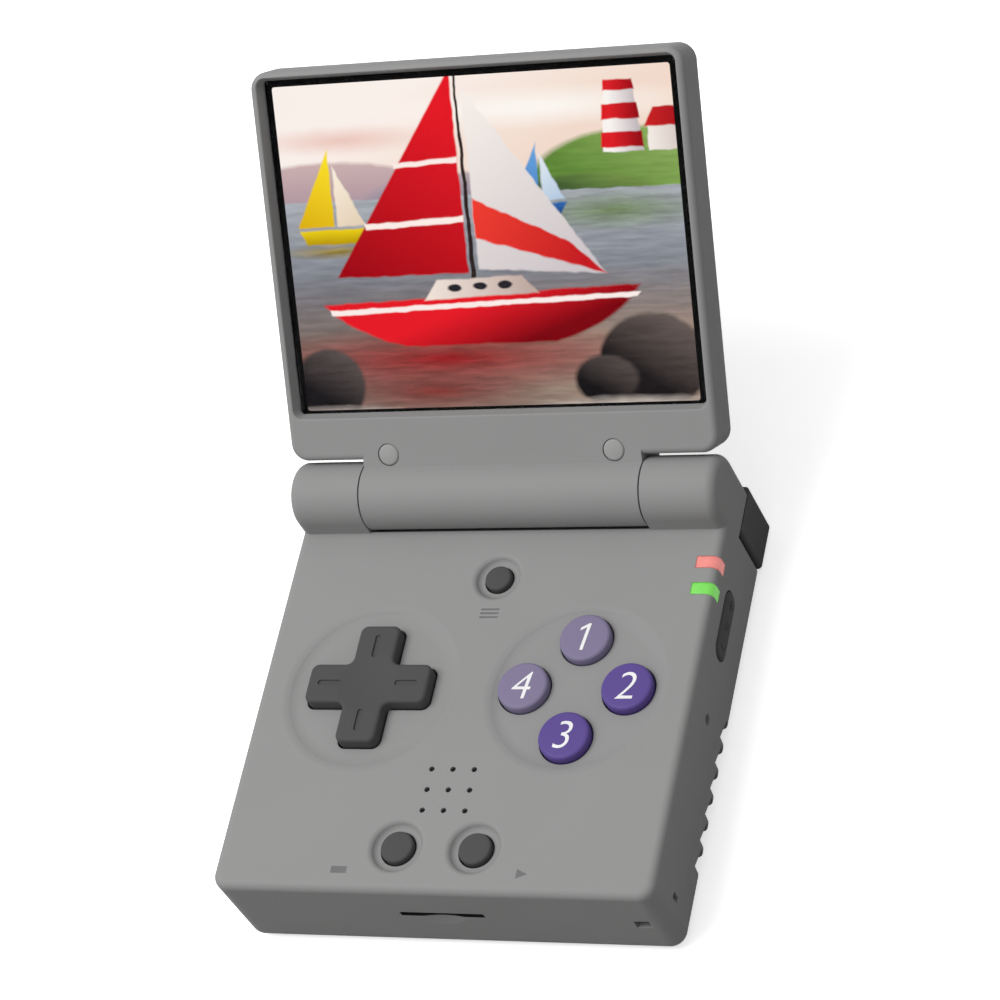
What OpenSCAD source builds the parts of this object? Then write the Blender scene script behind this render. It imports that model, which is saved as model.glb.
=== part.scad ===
// Clamshell handheld game console: a flat base with controls, and a screen lid on a two-knuckle hinge.
// Frame: X to the player's right, Y towards the hinge, Z up. The origin is the middle of the underside.
// Lid parts are drawn in the lid's own frame: X as above, Y away from the hinge axis, Z out of the screen.

/* [Base] */
// Width of the base
base_w = 61.6; // [60:0.1:70]
// Depth of the base, front face to back face
base_d = 63; // [62.5:0.1:66]
// Height of the flat deck above the underside
deck_z = 15.15; // [15:0.05:16.5]
// Height of the joint between bottom case and top case
split_z = 5; // [4.6:0.1:5.2]
// Wall thickness of the two base cases
wall = 1.5; // [1.3:0.05:1.6]
// Plan radius of the upright corners
corner_r = 2.2; // [2.15:0.05:2.3]
// Radius of the edge round the deck
deck_edge_r = 1.15; // [0.8:0.05:1.4]
// Radius of the edge round the underside
sole_edge_r = 2.1; // [1.8:0.05:2.1]

/* [Hinge] */
// Outer radius of the knuckles and of the lid's barrel
barrel_r = 4.65; // [4.5:0.05:4.8]
// Height of the hinge axis above the deck
axis_rise = 2.25; // [2.2:0.05:2.4]
// Length of each knuckle
knuckle_len = 10.45; // [10:0.05:12]
// Radius round each knuckle's outer end
knuckle_edge_r = 1.4; // [1:0.1:1.8]
// Gap between the barrel's end and a knuckle
knuckle_gap = 0.2; // [0.15:0.05:0.3]
// Gap between the barrel and its trough in the base
trough_gap = 0.35; // [0.3:0.05:0.5]
// Opening angle of the lid as drawn, zero when shut
lid_angle = 135.1; // [0:0.1:165]
// Radius of the rotating stubs on the hinge axis
stub_r = 1.9; // [1.7:0.05:2]

/* [Lid] */
// Distance by which the lid stands out beyond each side of the base
lid_overhang = 0.15; // [0:0.05:0.4]
// Distance between the lid's free edge and the plane of the base's front, when shut
lid_setback = 0.05; // [0:0.05:0.5]
// Distance from the hinge axis to the lid's lower edge
lid_start = 5.22; // [5.15:0.01:5.3]
// Height of the screen-side face above the hinge axis
lid_face_z = 1.83; // [1.7:0.01:1.83]
// Height of the joint between lid frame and lid back
lid_split_z = -1; // [-1.2:0.05:-0.9]
// Wall thickness of the lid
lid_wall = 1.2; // [1:0.05:1.3]
// Plan radius of the lid's corners
lid_corner_r = 2.4; // [2:0.1:3]
// Radius of the edge round the screen-side face
lid_face_edge_r = 0.9; // [0.5:0.05:1]
// Radius of the edge round the outer face
lid_back_edge_r = 1.5; // [0.8:0.05:1.8]

/* [Screen] */
// Width of the lid's border beside the lit picture
border_side = 2.5; // [2.4:0.05:4]
// Width of the lid's border above the lit picture
border_top = 2.2; // [2.1:0.05:4]
// Distance from the hinge axis to the picture's lower edge
picture_start = 11.95; // [11.9:0.05:12.5]
// Depth of the cover lens below the lid's face
lens_depth = 1.5; // [1.4:0.05:1.5]
// Thickness of the cover lens
lens_t = 0.3; // [0.2:0.05:0.4]
// Distance that the bezel's wall leans outwards over its depth
bezel_lean = 0.4; // [0.2:0.05:0.5]
// Radius of the rim round the top of the bezel's wall
bezel_rim_r = 0.25; // [0.1:0.05:0.3]

/* [Controls] */
// Inset of the pad's and the face buttons' centres from the base's sides
group_inset = 16.2; // [16:0.1:16.6]
// Position of both groups along Y
group_y = -1.73; // [-2:0.01:-1.5]
// Radius of the dish round each group, at the deck
dish_r = 12.9; // [12.5:0.1:13.5]
// Width of the slope round a group's dish
dish_slope = 2.6; // [1.5:0.1:3]
// Depth of the dish round each group
dish_depth = 0.5; // [0.3:0.05:0.5]
// Width over two opposite arms of the direction pad
pad_span = 17.5; // [17:0.1:18]
// Width of one arm of the direction pad
pad_arm_w = 5.8; // [5:0.1:6]
// Height of the direction pad above the deck
pad_rise = 1.3; // [0.8:0.05:1.3]
// Radius of the edge round the top of the direction pad
pad_edge_r = 0.5; // [0.3:0.05:0.8]
// Radius of a face button
face_r = 3.5; // [3.2:0.05:3.6]
// Distance of each face button from its group's centre
face_ring = 7.25; // [7.2:0.05:7.6]
// Height of a face button above the deck
face_rise = 0.8; // [0.5:0.05:1]
// Gap round each button in its hole
button_gap = 0.22; // [0.15:0.01:0.25]
// Radius of the menu button
menu_r = 1.85; // [1.6:0.05:2]
// Distance of the menu button from the hinge axis
menu_reach = 11.75; // [11.4:0.05:12.4]
// Radius of the select and start buttons
option_r = 2.25; // [2:0.05:2.4]
// Distance of the select and start buttons from the middle
option_x = 5.45; // [5.2:0.05:5.6]
// Distance of the select and start buttons from the base's front
option_inset = 6.45; // [6.2:0.05:6.7]
// Depth of the small dishes round menu, select and start
small_dish_depth = 0.9; // [0.6:0.05:0.9]
// Width of the slope round a small dish
small_dish_slope = 1.55; // [1:0.05:1.65]
// Height of the small buttons above the floor of their dishes
option_rise = 0.9; // [0.6:0.05:1]

/* [Sides] */
// Length of the volume rocker
volume_len = 9.8; // [9:0.1:10.5]
// Height of the volume rocker
volume_h = 3.5; // [3:0.1:4]
// Distance of the volume rocker and the power button from the hinge axis
side_key_reach = 15.7; // [15.3:0.05:16.3]
// Middle of the volume rocker and the power button along Z
side_key_z = 8.9; // [8.8:0.05:9]
// Length of the power button
power_len = 6.2; // [5:0.1:7]
// Height of the power button
power_h = 2.6; // [2:0.1:3]
// Width of the memory card slot
card_slot_w = 11.8; // [11.6:0.1:12]
// Width of a shoulder button, from its inner end to the side face
shoulder_w = 14.2; // [13:0.1:14.5]
// Height of a shoulder button's top above the underside
shoulder_top_z = 9.9; // [9.5:0.1:10]
// Width of the wall between the rear port and a trigger button
trigger_inset = 3.4; // [2.8:0.1:5]
// Width of a light pipe
pipe_w = 1.8; // [1.4:0.1:2]
// Distances of the green and the red light pipe from the hinge axis
pipe_reaches = [13.65, 9.65];
// Pitch of the grip notches along the lower side edges
notch_pitch = 3.75; // [3.5:0.05:3.8]

/* [Inside] */
// Thickness of the main board
board_t = 1; // [0.8:0.1:1]
// Height of the main board's underside
board_z = 9.7; // [9.65:0.05:9.8]
// Thickness of the battery
battery_t = 5; // [4:0.1:6]
// Radius of the speaker
speaker_r = 5.5; // [5:0.1:5.5]
// Distance of the speaker's middle from the base's front
speaker_inset = 14.7; // [14.6:0.1:15.2]
// Pitch of the speaker holes
speaker_pitch = 3; // [2.8:0.1:3.2]
// Radius of the bore of the headphone socket
jack_bore_r = 1.8; // [1.77:0.01:1.85]
// Size of the memory card
card_size = [11, 15, 0.7];
// Radius of the shoulder buttons' pivot pins
pin_r = 0.9; // [0.8:0.05:1]
// Radius of the screw shanks in the base
screw_r = 0.9; // [0.8:0.05:1]

/* [Hidden] */
$fn = 96;

case_grey = [0.55, 0.55, 0.55];
key_grey = [0.2, 0.2, 0.2];
face_purple = [0.3, 0.2, 0.6];
face_lilac = [0.52, 0.47, 0.64];

over = 1;                    // how far a cut runs past the face that it opens
touch = 0.02;                // clearance of a piece that is held still in a pocket
edge_crease = 0.01;          // keeps a rounded rim from meeting the deck at a tangent
half_w = base_w / 2;
half_d = base_d / 2;
group_x = half_w - group_inset;
roof_z = deck_z - wall;
axis_y = half_d - barrel_r;
axis_z = deck_z + axis_rise;
knuckle_x = half_w - knuckle_len;
barrel_end = knuckle_x - knuckle_gap;
trough_r = barrel_r + trough_gap;
trough_floor_z = axis_z - trough_r;
rear_roof_z = trough_floor_z - wall;
rear_roof_y = axis_y - trough_r - wall;
bushing_r = stub_r + 0.75;
bushing_len = 5.4;
stub_gap = 0.05;
stub_short = 0.2;            // a stub ends this far short of its bushing's end
knuckle_cap = 2.95;          // solid end of a knuckle beyond its bore
bore_depth = knuckle_len - knuckle_cap;
sleeve_r = 2.55;
sleeve_len = 12;
sleeve_bore_r = 1.2;

pocket_x = half_w - shoulder_w - 0.3;
pocket_y = half_d - 7.6;
pocket_top_z = shoulder_top_z + 0.3;
pocket_wall = 1;
shoulder_proud = 0.5;
shoulder_front_y = pocket_y + 1;
shoulder_foot_z = 0.5;
shoulder_edge_r = 0.6;
pivot_x = pocket_x + 1.3;
pivot_y = half_d - 2.6;
lug_top_z = 1.9;
lug_x = pocket_x + 3.2;
shoulder_key_x = half_w - 6.8;
shoulder_key_z = 8.4;
shoulder_key_gap = 0.45;
shoulder_key_w = 4;

usb_w = 8.94;
usb_h = 3.16;
trigger_lip = 0.6;
trigger_w = pocket_x - pocket_wall - 0.2 - trigger_lip - usb_w / 2 - trigger_inset;
trigger_x = usb_w / 2 + trigger_inset + trigger_w / 2;
trigger_z0 = 5.6;
trigger_z1 = 9.4;
trigger_z = (trigger_z0 + trigger_z1) / 2;
trigger_gap = 0.15;
trigger_end_y = half_d - wall - 3;
trigger_travel = 0.7;

board_top = board_z + board_t;
board_edge_x = half_w - 2.8;
board_front_y = -half_d + 2.5;
board_back_y = pocket_y - pocket_wall - 1.6;
board_tongue_x = pocket_x - pocket_wall - 0.3;
board_tongue_y = trigger_end_y + 1.5;
boss_r = 2;
side_key_y = axis_y - side_key_reach;
front_screw_x = half_w - 8.3;
front_screw_y = -half_d + 4.5;
rear_screw_x = half_w - 7;
screw_spots = [
    [-front_screw_x, front_screw_y],
    [front_screw_x, front_screw_y],
    [-rear_screw_x, side_key_y],
    [rear_screw_x, side_key_y],
];
screw_head_r = 1.75;
screw_head_z = 0.9;
screw_head_t = 0.9;
screw_tip_z = 9;

usb_z = board_z - 1.7;
usb_wall = 0.3;
usb_len = 8;
usb_setback = 0.2;
usb_bore_depth = 7.2;
usb_tongue_w = 6.7;
usb_tongue_t = 0.7;
card_z = 8.7;
card_gap = 0.1;
card_slot_h = card_size[2] + 4 * card_gap;
card_setback = 0.9;
card_end_y = -half_d + card_setback + card_size[1];
card_socket_end_y = card_end_y + 1;
scoop_depth = 0.35;
scoop_half = 3.4;
scoop_rise = 0.9;
jack_y = -half_d + 11.5;
jack_len = 12;
jack_w = 6;
jack_z = board_z - 2.3;
jack_nose_r = 2.3;
notch_start = axis_y - 26.1;
notch_count = 6;
notch_depth = 1.65;          // from the sharp corner of side and sole, square to the cut
notch_slope = 14;
notch_len = 3.1;
notch_w = 6;
volume_switch_gap = 1.75;    // from the wall to a switch's plunger face
power_switch_gap = 1.8;
reset_switch_gap = 0.8;
shoulder_switch_d = 1.5;
reset_y = axis_y - 29.45;
reset_r = 0.75;
reset_z = 8.6;
strap_x = half_w - 3.6;
strap_z = 7.6;
strap_y = -half_d + 3.9;
strap_block = 2.5;
pipe_foot_z = 12.8;
pipe_start_x = half_w - 3.1;
pipe_ys = [for (r = pipe_reaches) axis_y - r];
pipe_foot_gap = 0.05;
led_t = 0.75;
menu_y = axis_y - menu_reach;
option_y = -half_d + option_inset;
speaker_y = -half_d + speaker_inset;
speaker_hole_r = 0.38;
speaker_rim = 0.7;
battery_gap = 0.5;

flange_t = 0.7;
flange_top_z = roof_z - 0.1;
face_travel = 0.8;
option_travel = 0.5;
dome_gap = 0.05;
collar_z = 12.9;
option_margin = 1.95;        // from a small button's side to the rim of its dish
option_floor_z = deck_z - small_dish_depth;
option_flange_z = collar_z - 0.1;
sheet_t = 0.4;
sheet_margin = 1;            // silicone round a dome
key_sheet_margin = 1.8;
key_sheet_r = 2;
pad_sheet_r = 5;
face_sheet_r = 8;
face_dome_r = 2;
menu_dome_r = 1.2;
option_dome_r = 1.4;
pivot_ball_r = 1.3;
pivot_z = board_top + pivot_ball_r + dome_gap;
pad_tilt = 3;
pad_tip_r = 1.1;
pad_flange_lip = 1;
pad_flange_z = roof_z - flange_t - 0.9;
pad_dome_x = 6.2;
pad_dome_r = 1.6;
pad_sheet_w = 2 * (pad_dome_x + pad_dome_r + sheet_margin);
face_sheet_w = 2 * (face_ring + face_dome_r + sheet_margin - 0.05);
pad_dome_z = pad_flange_z - (pad_dome_x + 2 * pad_dome_r) * sin(pad_tilt) - dome_gap;
pad_hollow_r = 24;
pad_hollow_depth = 0.4;

lid_back_z = -barrel_r;
lid_w = base_w + 2 * lid_overhang;
lid_reach = base_d - barrel_r - lid_setback;
lid_mid = (lid_start + lid_reach) / 2;
lid_len = lid_reach - lid_start;
web_y = 4.9;
lens_z = lid_face_z - lens_depth;
mask_t = 0.1;
mask_z = lens_z - lens_t - mask_t;
picture_w = lid_w - 2 * border_side;
picture_h = lid_reach - picture_start - border_top;
picture_mid = picture_start + picture_h / 2;
window_w = picture_w + 2;
window_start = picture_start - 0.4;
window_end = picture_start + picture_h + 0.95;
window_h = window_end - window_start;
window_mid = (window_start + window_end) / 2;
window_corner_r = 0.8;
cell_w = picture_w + 0.7;
cell_h = picture_h + 0.2;
cell_gap = 0.06;
tray_w = picture_w + 1.6;
tray_start = picture_start - 2.6;
tray_end = picture_start + picture_h + 0.5;
tray_z = -2.7;
ribbon_t = 0.2;
ribbon_w = 10;
ribbon_z = -2.4;
ribbon_core_r = 0.8;
roll_r = 2.4;
bumper_x = barrel_end - 3.85;
bumper_y = lid_start + 0.75;
bumper_r = 1.5;
bumper_z = 0.95;
magnet_r = 1.4;
magnet_x = lid_w / 2 - lid_wall - 4.75;
magnet_t = 1.2;
lid_screw_r = 0.6;
lid_screw_head_r = 1.1;

// ---- shared shapes -------------------------------------------------------------------------------

module box(x0, x1, y0, y1, z0, z1)
    translate([x0, y0, z0]) cube([x1 - x0, y1 - y0, z1 - z0]);

module rod_x(x0, x1, y, z, r)
    translate([x0, y, z]) rotate([0, 90, 0]) cylinder(h = x1 - x0, r = r);

module rod_y(x, y0, y1, z, r)
    translate([x, y1, z]) rotate([90, 0, 0]) cylinder(h = y1 - y0, r = r);

module rod_z(x, y, z0, z1, r)
    translate([x, y, z0]) cylinder(h = z1 - z0, r = r);

module round_rect(w, h, r) {
    square([w - 2 * r, h], center = true);
    square([w, h - 2 * r], center = true);
    for (x = [-1, 1], y = [-1, 1])
        translate([x * (w / 2 - r), y * (h / 2 - r)]) circle(r);
}

// A rounded plate centred on [x, y], from z0 up to z1.
module plate(x, y, w, h, r, z0, z1)
    translate([x, y, z0]) linear_extrude(z1 - z0) round_rect(w, h, r);

// A slot with a rounded outline that runs along Y, from y0 to y1.
module slot_y(x, z, w, h, r, y0, y1)
    translate([x, y1, z]) rotate([90, 0, 0]) linear_extrude(y1 - y0) round_rect(w, h, r);

// A slot with a rounded outline that runs along X, from x0 to x1.
module slot_x(y, z, w, h, r, x0, x1)
    translate([x0, y, z]) rotate([90, 0, 90]) linear_extrude(x1 - x0) round_rect(w, h, r);

// Half of an edge's section, out to r from a corner's axis and up to h, with its top edge rounded.
module edge_profile(r, edge_r, h)
    intersection() {
        square([r, h]);
        union() {
            square([r, h - edge_r]);
            square([r - edge_r, h]);
            translate([r - edge_r, h - edge_r]) circle(edge_r);
        }
    }

// A bar along Y with the given section on both of its long edges.
module rolled_run(w, len, r, z0, z1)
    translate([0, len / 2, z0]) rotate([90, 0, 0]) linear_extrude(len) {
        translate([r - w / 2 - touch, 0]) square([w - 2 * r + 2 * touch, z1 - z0]);
        for (side = [0, 1])
            mirror([side, 0]) translate([w / 2 - r, 0]) children();
    }

// A block whose edge section runs round its four sides, and turns round its upright corners.
module rolled_block(x, y, w, d, r, z0, z1)
    translate([x, y, 0]) {
        for (sx = [-1, 1], sy = [-1, 1])
            translate([sx * (w / 2 - r), sy * (d / 2 - r), z0]) rotate_extrude() children();
        rolled_run(w, d - 2 * r, r, z0, z1) children();
        rotate([0, 0, 90]) rolled_run(d, w - 2 * r, r, z0, z1) children();
    }

// A block from z0 up to z1 with upright corners of one radius and a rounded edge on top.
module soft_block(x, y, w, d, r, edge_r, z0, z1) {
    deep = 2 * (z1 - z0) + 4 * edge_r;
    intersection() {
        plate(x, y, w, d, r, z0, z1);
        slot_y(x, z1 - deep / 2, w, deep, edge_r, y - d, y + d);
        slot_x(y, z1 - deep / 2, d, deep, edge_r, x - w, x + w);
    }
}

module both_sides() {
    children();
    mirror([1, 0, 0]) children();
}

module at_hinge(angle = lid_angle)
    translate([0, axis_y, axis_z]) rotate([180 - angle, 0, 0]) children();

// ---- base shells ---------------------------------------------------------------------------------

module deck_block()
    rolled_block(0, 0, base_w, base_d, corner_r, split_z, deck_z)
        edge_profile(corner_r, deck_edge_r, deck_z - split_z);

module sole_block()
    rolled_block(0, 0, base_w, base_d, corner_r, 0, split_z)
        translate([0, split_z]) mirror([0, 1]) edge_profile(corner_r, sole_edge_r, split_z);

module knuckle() {
    len = half_w - knuckle_x;
    intersection() {
        plate(half_w - len, axis_y, 2 * len, 2 * barrel_r, knuckle_edge_r, split_z, axis_z);
        box(knuckle_x, half_w + over, 0, half_d + over, 0, axis_z + over);
    }
    intersection() {
        translate([knuckle_x, axis_y, axis_z]) rotate([0, 90, 0]) rotate_extrude() {
            square([barrel_r - knuckle_edge_r, len]);
            square([barrel_r, len - knuckle_edge_r]);
            translate([barrel_r - knuckle_edge_r, len - knuckle_edge_r]) circle(knuckle_edge_r);
        }
        box(0, half_w + over, 0, half_d + over, axis_z - touch, axis_z + 2 * barrel_r);
    }
}

module shoulder_pocket(z0, z1)
    box(pocket_x, half_w + over, pocket_y, half_d + over, z0, z1);

module pocket_walls(z0, z1)
    box(pocket_x - pocket_wall, half_w - wall / 2, pocket_y - pocket_wall, half_d - wall / 2, z0, z1);

module pad_cross(extra, r, z0, z1)
    for (turn = [0, 90])
        translate([-group_x, group_y, 0]) rotate(turn)
            plate(0, 0, pad_span + 2 * extra, pad_arm_w + 2 * extra, r, z0, z1);

// A dish in the deck: its slope bends over from the deck and out into the floor on two equal arcs.
module dish(x, y, r, slope, depth) {
    bend_r = (slope * slope + depth * depth) / (4 * depth);
    floor_z = deck_z - depth;
    mid_r = r - slope / 2;
    translate([x, y, 0]) rotate_extrude() {
        intersection() {
            translate([0, floor_z]) square([mid_r, depth + over]);
            union() {
                translate([0, floor_z]) square([r - slope, depth + over]);
                translate([r - slope, floor_z + bend_r]) circle(bend_r);
                translate([0, floor_z + depth / 2]) square([mid_r, depth + over]);
            }
        }
        difference() {
            translate([mid_r, floor_z]) square([slope / 2, depth + over]);
            translate([r, deck_z - bend_r + edge_crease]) circle(bend_r);
            translate([mid_r, floor_z]) square([slope / 2, depth / 2]);
        }
    }
}

module face_spots()
    for (turn = [0 : 90 : 270])
        translate([group_x + face_ring * cos(turn), group_y + face_ring * sin(turn), 0]) children();

module strap_tunnel() {
    front_w = 2.1;
    side_w = 0.9;
    box(strap_x - front_w / 2, strap_x + front_w / 2, -half_d - over, strap_y + side_w / 2, strap_z - 0.8,
        strap_z + 0.9);
    box(strap_x, half_w + over, strap_y - side_w / 2, strap_y + side_w / 2, strap_z - 0.8, strap_z + 0.9);
}

module thumb_scoop() {
    r = (scoop_half * scoop_half + scoop_depth * scoop_depth) / (2 * scoop_depth);
    intersection() {
        translate([0, -half_d - r + scoop_depth, card_z + scoop_rise]) sphere(r);
        box(-scoop_half - over, scoop_half + over, -half_d - over, -half_d + over, split_z, card_z);
    }
}

module top_case_body() {
    difference() {
        union() {
            deck_block();
            both_sides() knuckle();
            box(-knuckle_x - 1, knuckle_x + 1, axis_y - barrel_r, half_d, split_z, deck_z);
        }
        box(-half_w + wall, half_w - wall, -half_d + wall, rear_roof_y, split_z - over, roof_z);
        box(-half_w + wall, half_w - wall, rear_roof_y - over, half_d - wall, split_z - over, rear_roof_z);
    }
    both_sides() pocket_walls(split_z, pocket_top_z + pocket_wall);
    box(strap_x - strap_block, half_w - wall / 2, -half_d + wall / 2, strap_y + strap_block, split_z,
        strap_z + strap_block);
    for (p = screw_spots)
        rod_z(p[0], p[1], split_z, roof_z + wall / 3, boss_r);
    for (x = [-option_x, option_x])
        rod_z(x, option_y, collar_z, roof_z + wall / 3, option_r + option_margin);
    rod_z(0, menu_y, collar_z, roof_z + wall / 3, menu_r + option_margin);
}

module deck_openings() {
    pad_cross(button_gap + 0.05, pad_tip_r + 0.2, 0, deck_z + over);
    dish(-group_x, group_y, dish_r, dish_slope, dish_depth);
    dish(group_x, group_y, dish_r, dish_slope, dish_depth);
    face_spots() cylinder(h = deck_z + over, r = face_r + button_gap);
    dish(0, menu_y, menu_r + option_margin, small_dish_slope, small_dish_depth);
    rod_z(0, menu_y, 0, deck_z, menu_r + button_gap);
    for (x = [-option_x, option_x]) {
        dish(x, option_y, option_r + option_margin, small_dish_slope, small_dish_depth);
        rod_z(x, option_y, 0, deck_z, option_r + button_gap);
    }
    for (i = [-1 : 1], j = [-1 : 1])
        rod_z(i * speaker_pitch, speaker_y + j * speaker_pitch, roof_z - over, deck_z + over, speaker_hole_r);
}

module side_openings() {
    slot_x(side_key_y, side_key_z, volume_len + 0.4, volume_h + 0.4, volume_h / 2 + 0.1,
        half_w - 2 * wall, half_w + over);
    slot_x(side_key_y, side_key_z, power_len + 0.3, power_h + 0.3, power_h / 2 + 0.1,
        -half_w - over, -half_w + 2 * wall);
    rod_x(half_w - 2 * wall, half_w + over, reset_y, reset_z, reset_r);
    rod_x(-half_w - over, -half_w + 2 * wall, jack_y, jack_z, jack_nose_r + 0.05);
    slot_y(0, card_z, card_slot_w, card_slot_h, 0.3, -half_d - over, -half_d + 2 * wall);
    slot_y(0, usb_z, usb_w + 0.4, usb_h + 0.4, usb_h / 2 + 0.1, half_d - 2 * wall, half_d + over);
    both_sides()
        slot_y(trigger_x, trigger_z, trigger_w + 2 * trigger_gap,
            trigger_z1 - trigger_z0 + 2 * trigger_gap, 0.6, half_d - 2 * wall, half_d + over);
    for (y = pipe_ys)
        box(pipe_start_x - touch, half_w + over, y - pipe_w / 2 - touch, y + pipe_w / 2 + touch,
            pipe_foot_z - touch, deck_z + over);
}

module hinge_openings() {
    rod_x(-knuckle_x, knuckle_x, axis_y, axis_z, trough_r);
    box(-knuckle_x, knuckle_x, axis_y, half_d + over, trough_floor_z, axis_z + barrel_r);
    both_sides() rod_x(knuckle_x - over, knuckle_x + bore_depth, axis_y, axis_z, bushing_r + touch);
    box(-knuckle_x - bore_depth, -knuckle_x - bushing_len - 0.3, axis_y - 0.6, axis_y + 0.6,
        rear_roof_z + 0.8, axis_z);
    box(-knuckle_x - bore_depth, -knuckle_x - bushing_len - 0.3, rear_roof_y - over, axis_y + 0.6,
        rear_roof_z + 0.8, rear_roof_z + 1.8);
}

module top_case()
    color(case_grey)
    difference() {
        top_case_body();
        deck_openings();
        side_openings();
        hinge_openings();
        strap_tunnel();
        thumb_scoop();
        both_sides() shoulder_pocket(split_z - over, pocket_top_z);
        both_sides() rod_z(pivot_x, pivot_y, split_z - over, pocket_top_z + pocket_wall + 0.1, pin_r + touch);
        both_sides() rod_y(shoulder_key_x, pocket_y - 2 * pocket_wall, pocket_y + over, shoulder_key_z, 0.6);
        for (p = screw_spots)
            rod_z(p[0], p[1], split_z - over, screw_tip_z + 0.3, screw_r + touch);
    }

// One grip notch: deepest at its hinge-side end, running out towards the front.
module grip_notch(y)
    translate([half_w, y, 0]) rotate([0, 135, 0]) translate([0, 0, -notch_depth]) rotate([notch_slope, 0, 0])
        translate([-notch_w / 2, -notch_len, 0]) cube([notch_w, notch_len, notch_w / 2]);

module bottom_case()
    color(case_grey)
    difference() {
        union() {
            difference() {
                sole_block();
                box(-half_w + wall, half_w - wall, -half_d + wall, half_d - wall, wall, split_z + over);
            }
            both_sides() pocket_walls(0.5, split_z);
            both_sides() box(half_w - 2 * wall, half_w - wall / 2, notch_start - notch_count * notch_pitch,
                notch_start + wall / 2, wall / 2, 2 * wall);
            for (p = screw_spots)
                rod_z(p[0], p[1], wall / 2, split_z, boss_r + 0.3);
        }
        both_sides() difference() {
            shoulder_pocket(-over, split_z + over);
            box(pocket_x - over, lug_x, pocket_y - over, half_d + 2 * over, 0, lug_top_z);
        }
        both_sides() rod_z(pivot_x, pivot_y, 0.6, lug_top_z + over, pin_r + touch);
        for (p = screw_spots) {
            rod_z(p[0], p[1], -over, screw_head_z + screw_head_t, screw_head_r + 0.1);
            rod_z(p[0], p[1], 0, split_z + over, screw_r + 0.1);
        }
        both_sides() for (i = [0 : notch_count - 1])
            grip_notch(notch_start - i * notch_pitch);
    }

// ---- inside the base -----------------------------------------------------------------------------

module main_board()
    color([0.05, 0.3, 0.15])
    difference() {
        union() {
            box(-board_edge_x, board_edge_x, board_front_y, board_back_y, board_z, board_top);
            box(-board_tongue_x, board_tongue_x, board_back_y - over, board_tongue_y, board_z, board_top);
        }
        for (p = screw_spots)
            rod_z(p[0], p[1], board_z - over, board_top + over, boss_r + 0.3);
        both_sides() box(board_edge_x - 0.5, half_w, side_key_y - volume_len / 2 - 1.4,
            side_key_y + volume_len / 2 + 1.4, board_z - over, board_top + over);
        box(front_screw_x, half_w, -half_d, strap_y + strap_block + 0.3, board_z - over, board_top + over);
    }

module battery()
    color([0.75, 0.76, 0.78]) {
        w = 2 * (rear_screw_x - boss_r - 0.3 - battery_gap);
        y0 = card_socket_end_y + battery_gap;
        y1 = pocket_y - pocket_wall - battery_gap;
        plate(0, (y0 + y1) / 2, w, y1 - y0, 1, wall, wall + battery_t);
    }

module speaker()
    color([0.12, 0.12, 0.13])
    difference() {
        rod_z(0, speaker_y, board_top, roof_z, speaker_r);
        rod_z(0, speaker_y, roof_z - speaker_rim, roof_z + over, speaker_r - speaker_rim);
    }

module card_socket()
    color([0.7, 0.7, 0.72])
    difference() {
        box(-card_size[0] / 2 - 1.1, card_size[0] / 2 + 1.1, -half_d + wall + touch, card_socket_end_y,
            card_z - card_size[2], board_z);
        box(-card_size[0] / 2 - card_gap, card_size[0] / 2 + card_gap, -half_d, card_end_y + card_gap,
            card_z - card_size[2] / 2 - card_gap, card_z + card_size[2] / 2 + card_gap);
    }

module usb_socket() {
    end_y = half_d - usb_setback;
    color([0.72, 0.73, 0.75]) {
        difference() {
            slot_y(0, usb_z, usb_w, usb_h, usb_h / 2 - touch, end_y - usb_len, end_y);
            slot_y(0, usb_z, usb_w - 2 * usb_wall, usb_h - 2 * usb_wall, usb_h / 2 - usb_wall - touch,
                end_y - usb_bore_depth, half_d);
        }
        box(-usb_tongue_w / 2, usb_tongue_w / 2, end_y - usb_bore_depth - usb_wall, end_y - 0.8,
            usb_z - usb_tongue_t / 2, usb_z + usb_tongue_t / 2);
        box(-usb_w / 2 + 1, usb_w / 2 - 1, end_y - usb_len + 0.2, board_tongue_y, usb_z + usb_h / 2 - 0.1,
            board_z);
    }
}

module headphone_socket()
    color([0.1, 0.1, 0.11])
    difference() {
        union() {
            box(-half_w + wall, -half_w + wall + jack_len, jack_y - jack_w / 2, jack_y + jack_w / 2,
                jack_z - jack_nose_r, board_z);
            rod_x(-half_w + 0.1, -half_w + wall + over, jack_y, jack_z, jack_nose_r);
        }
        rod_x(-half_w - over, -half_w + wall + jack_len - 0.8, jack_y, jack_z, jack_bore_r);
    }

module light_pipe(y) {
    intersection() {
        deck_block();
        difference() {
            box(pipe_start_x, half_w + over, y - pipe_w / 2, y + pipe_w / 2, pipe_foot_z, deck_z + over);
            box(pipe_start_x - over, half_w - wall, y - pipe_w, y + pipe_w, 0, roof_z);
        }
    }
    box(pipe_start_x, half_w - wall - 0.4, y - pipe_w / 2 + 0.1, y + pipe_w / 2 - 0.1,
        board_top + led_t + pipe_foot_gap, roof_z + wall / 3);
}

module power_light_pipe()
    color([0.35, 0.9, 0.25]) light_pipe(pipe_ys[0]);

module charge_light_pipe()
    color([1, 0.45, 0.45]) light_pipe(pipe_ys[1]);

module status_leds()
    color([0.9, 0.9, 0.8])
    for (y = pipe_ys)
        box(pipe_start_x - 2, pipe_start_x + 0.3, y - pipe_w / 3, y + pipe_w / 3, board_top,
            board_top + led_t);

module membrane(spots, dome_r, dome_top) {
    difference() {
        union() {
            children();
            for (p = spots)
                translate([p[0], p[1], board_top]) cylinder(h = dome_top - board_top, r1 = dome_r + 0.5,
                    r2 = dome_r);
        }
        for (p = spots)
            rod_z(p[0], p[1], board_top - over, board_top + 0.3, dome_r - 0.4);
    }
}

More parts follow.
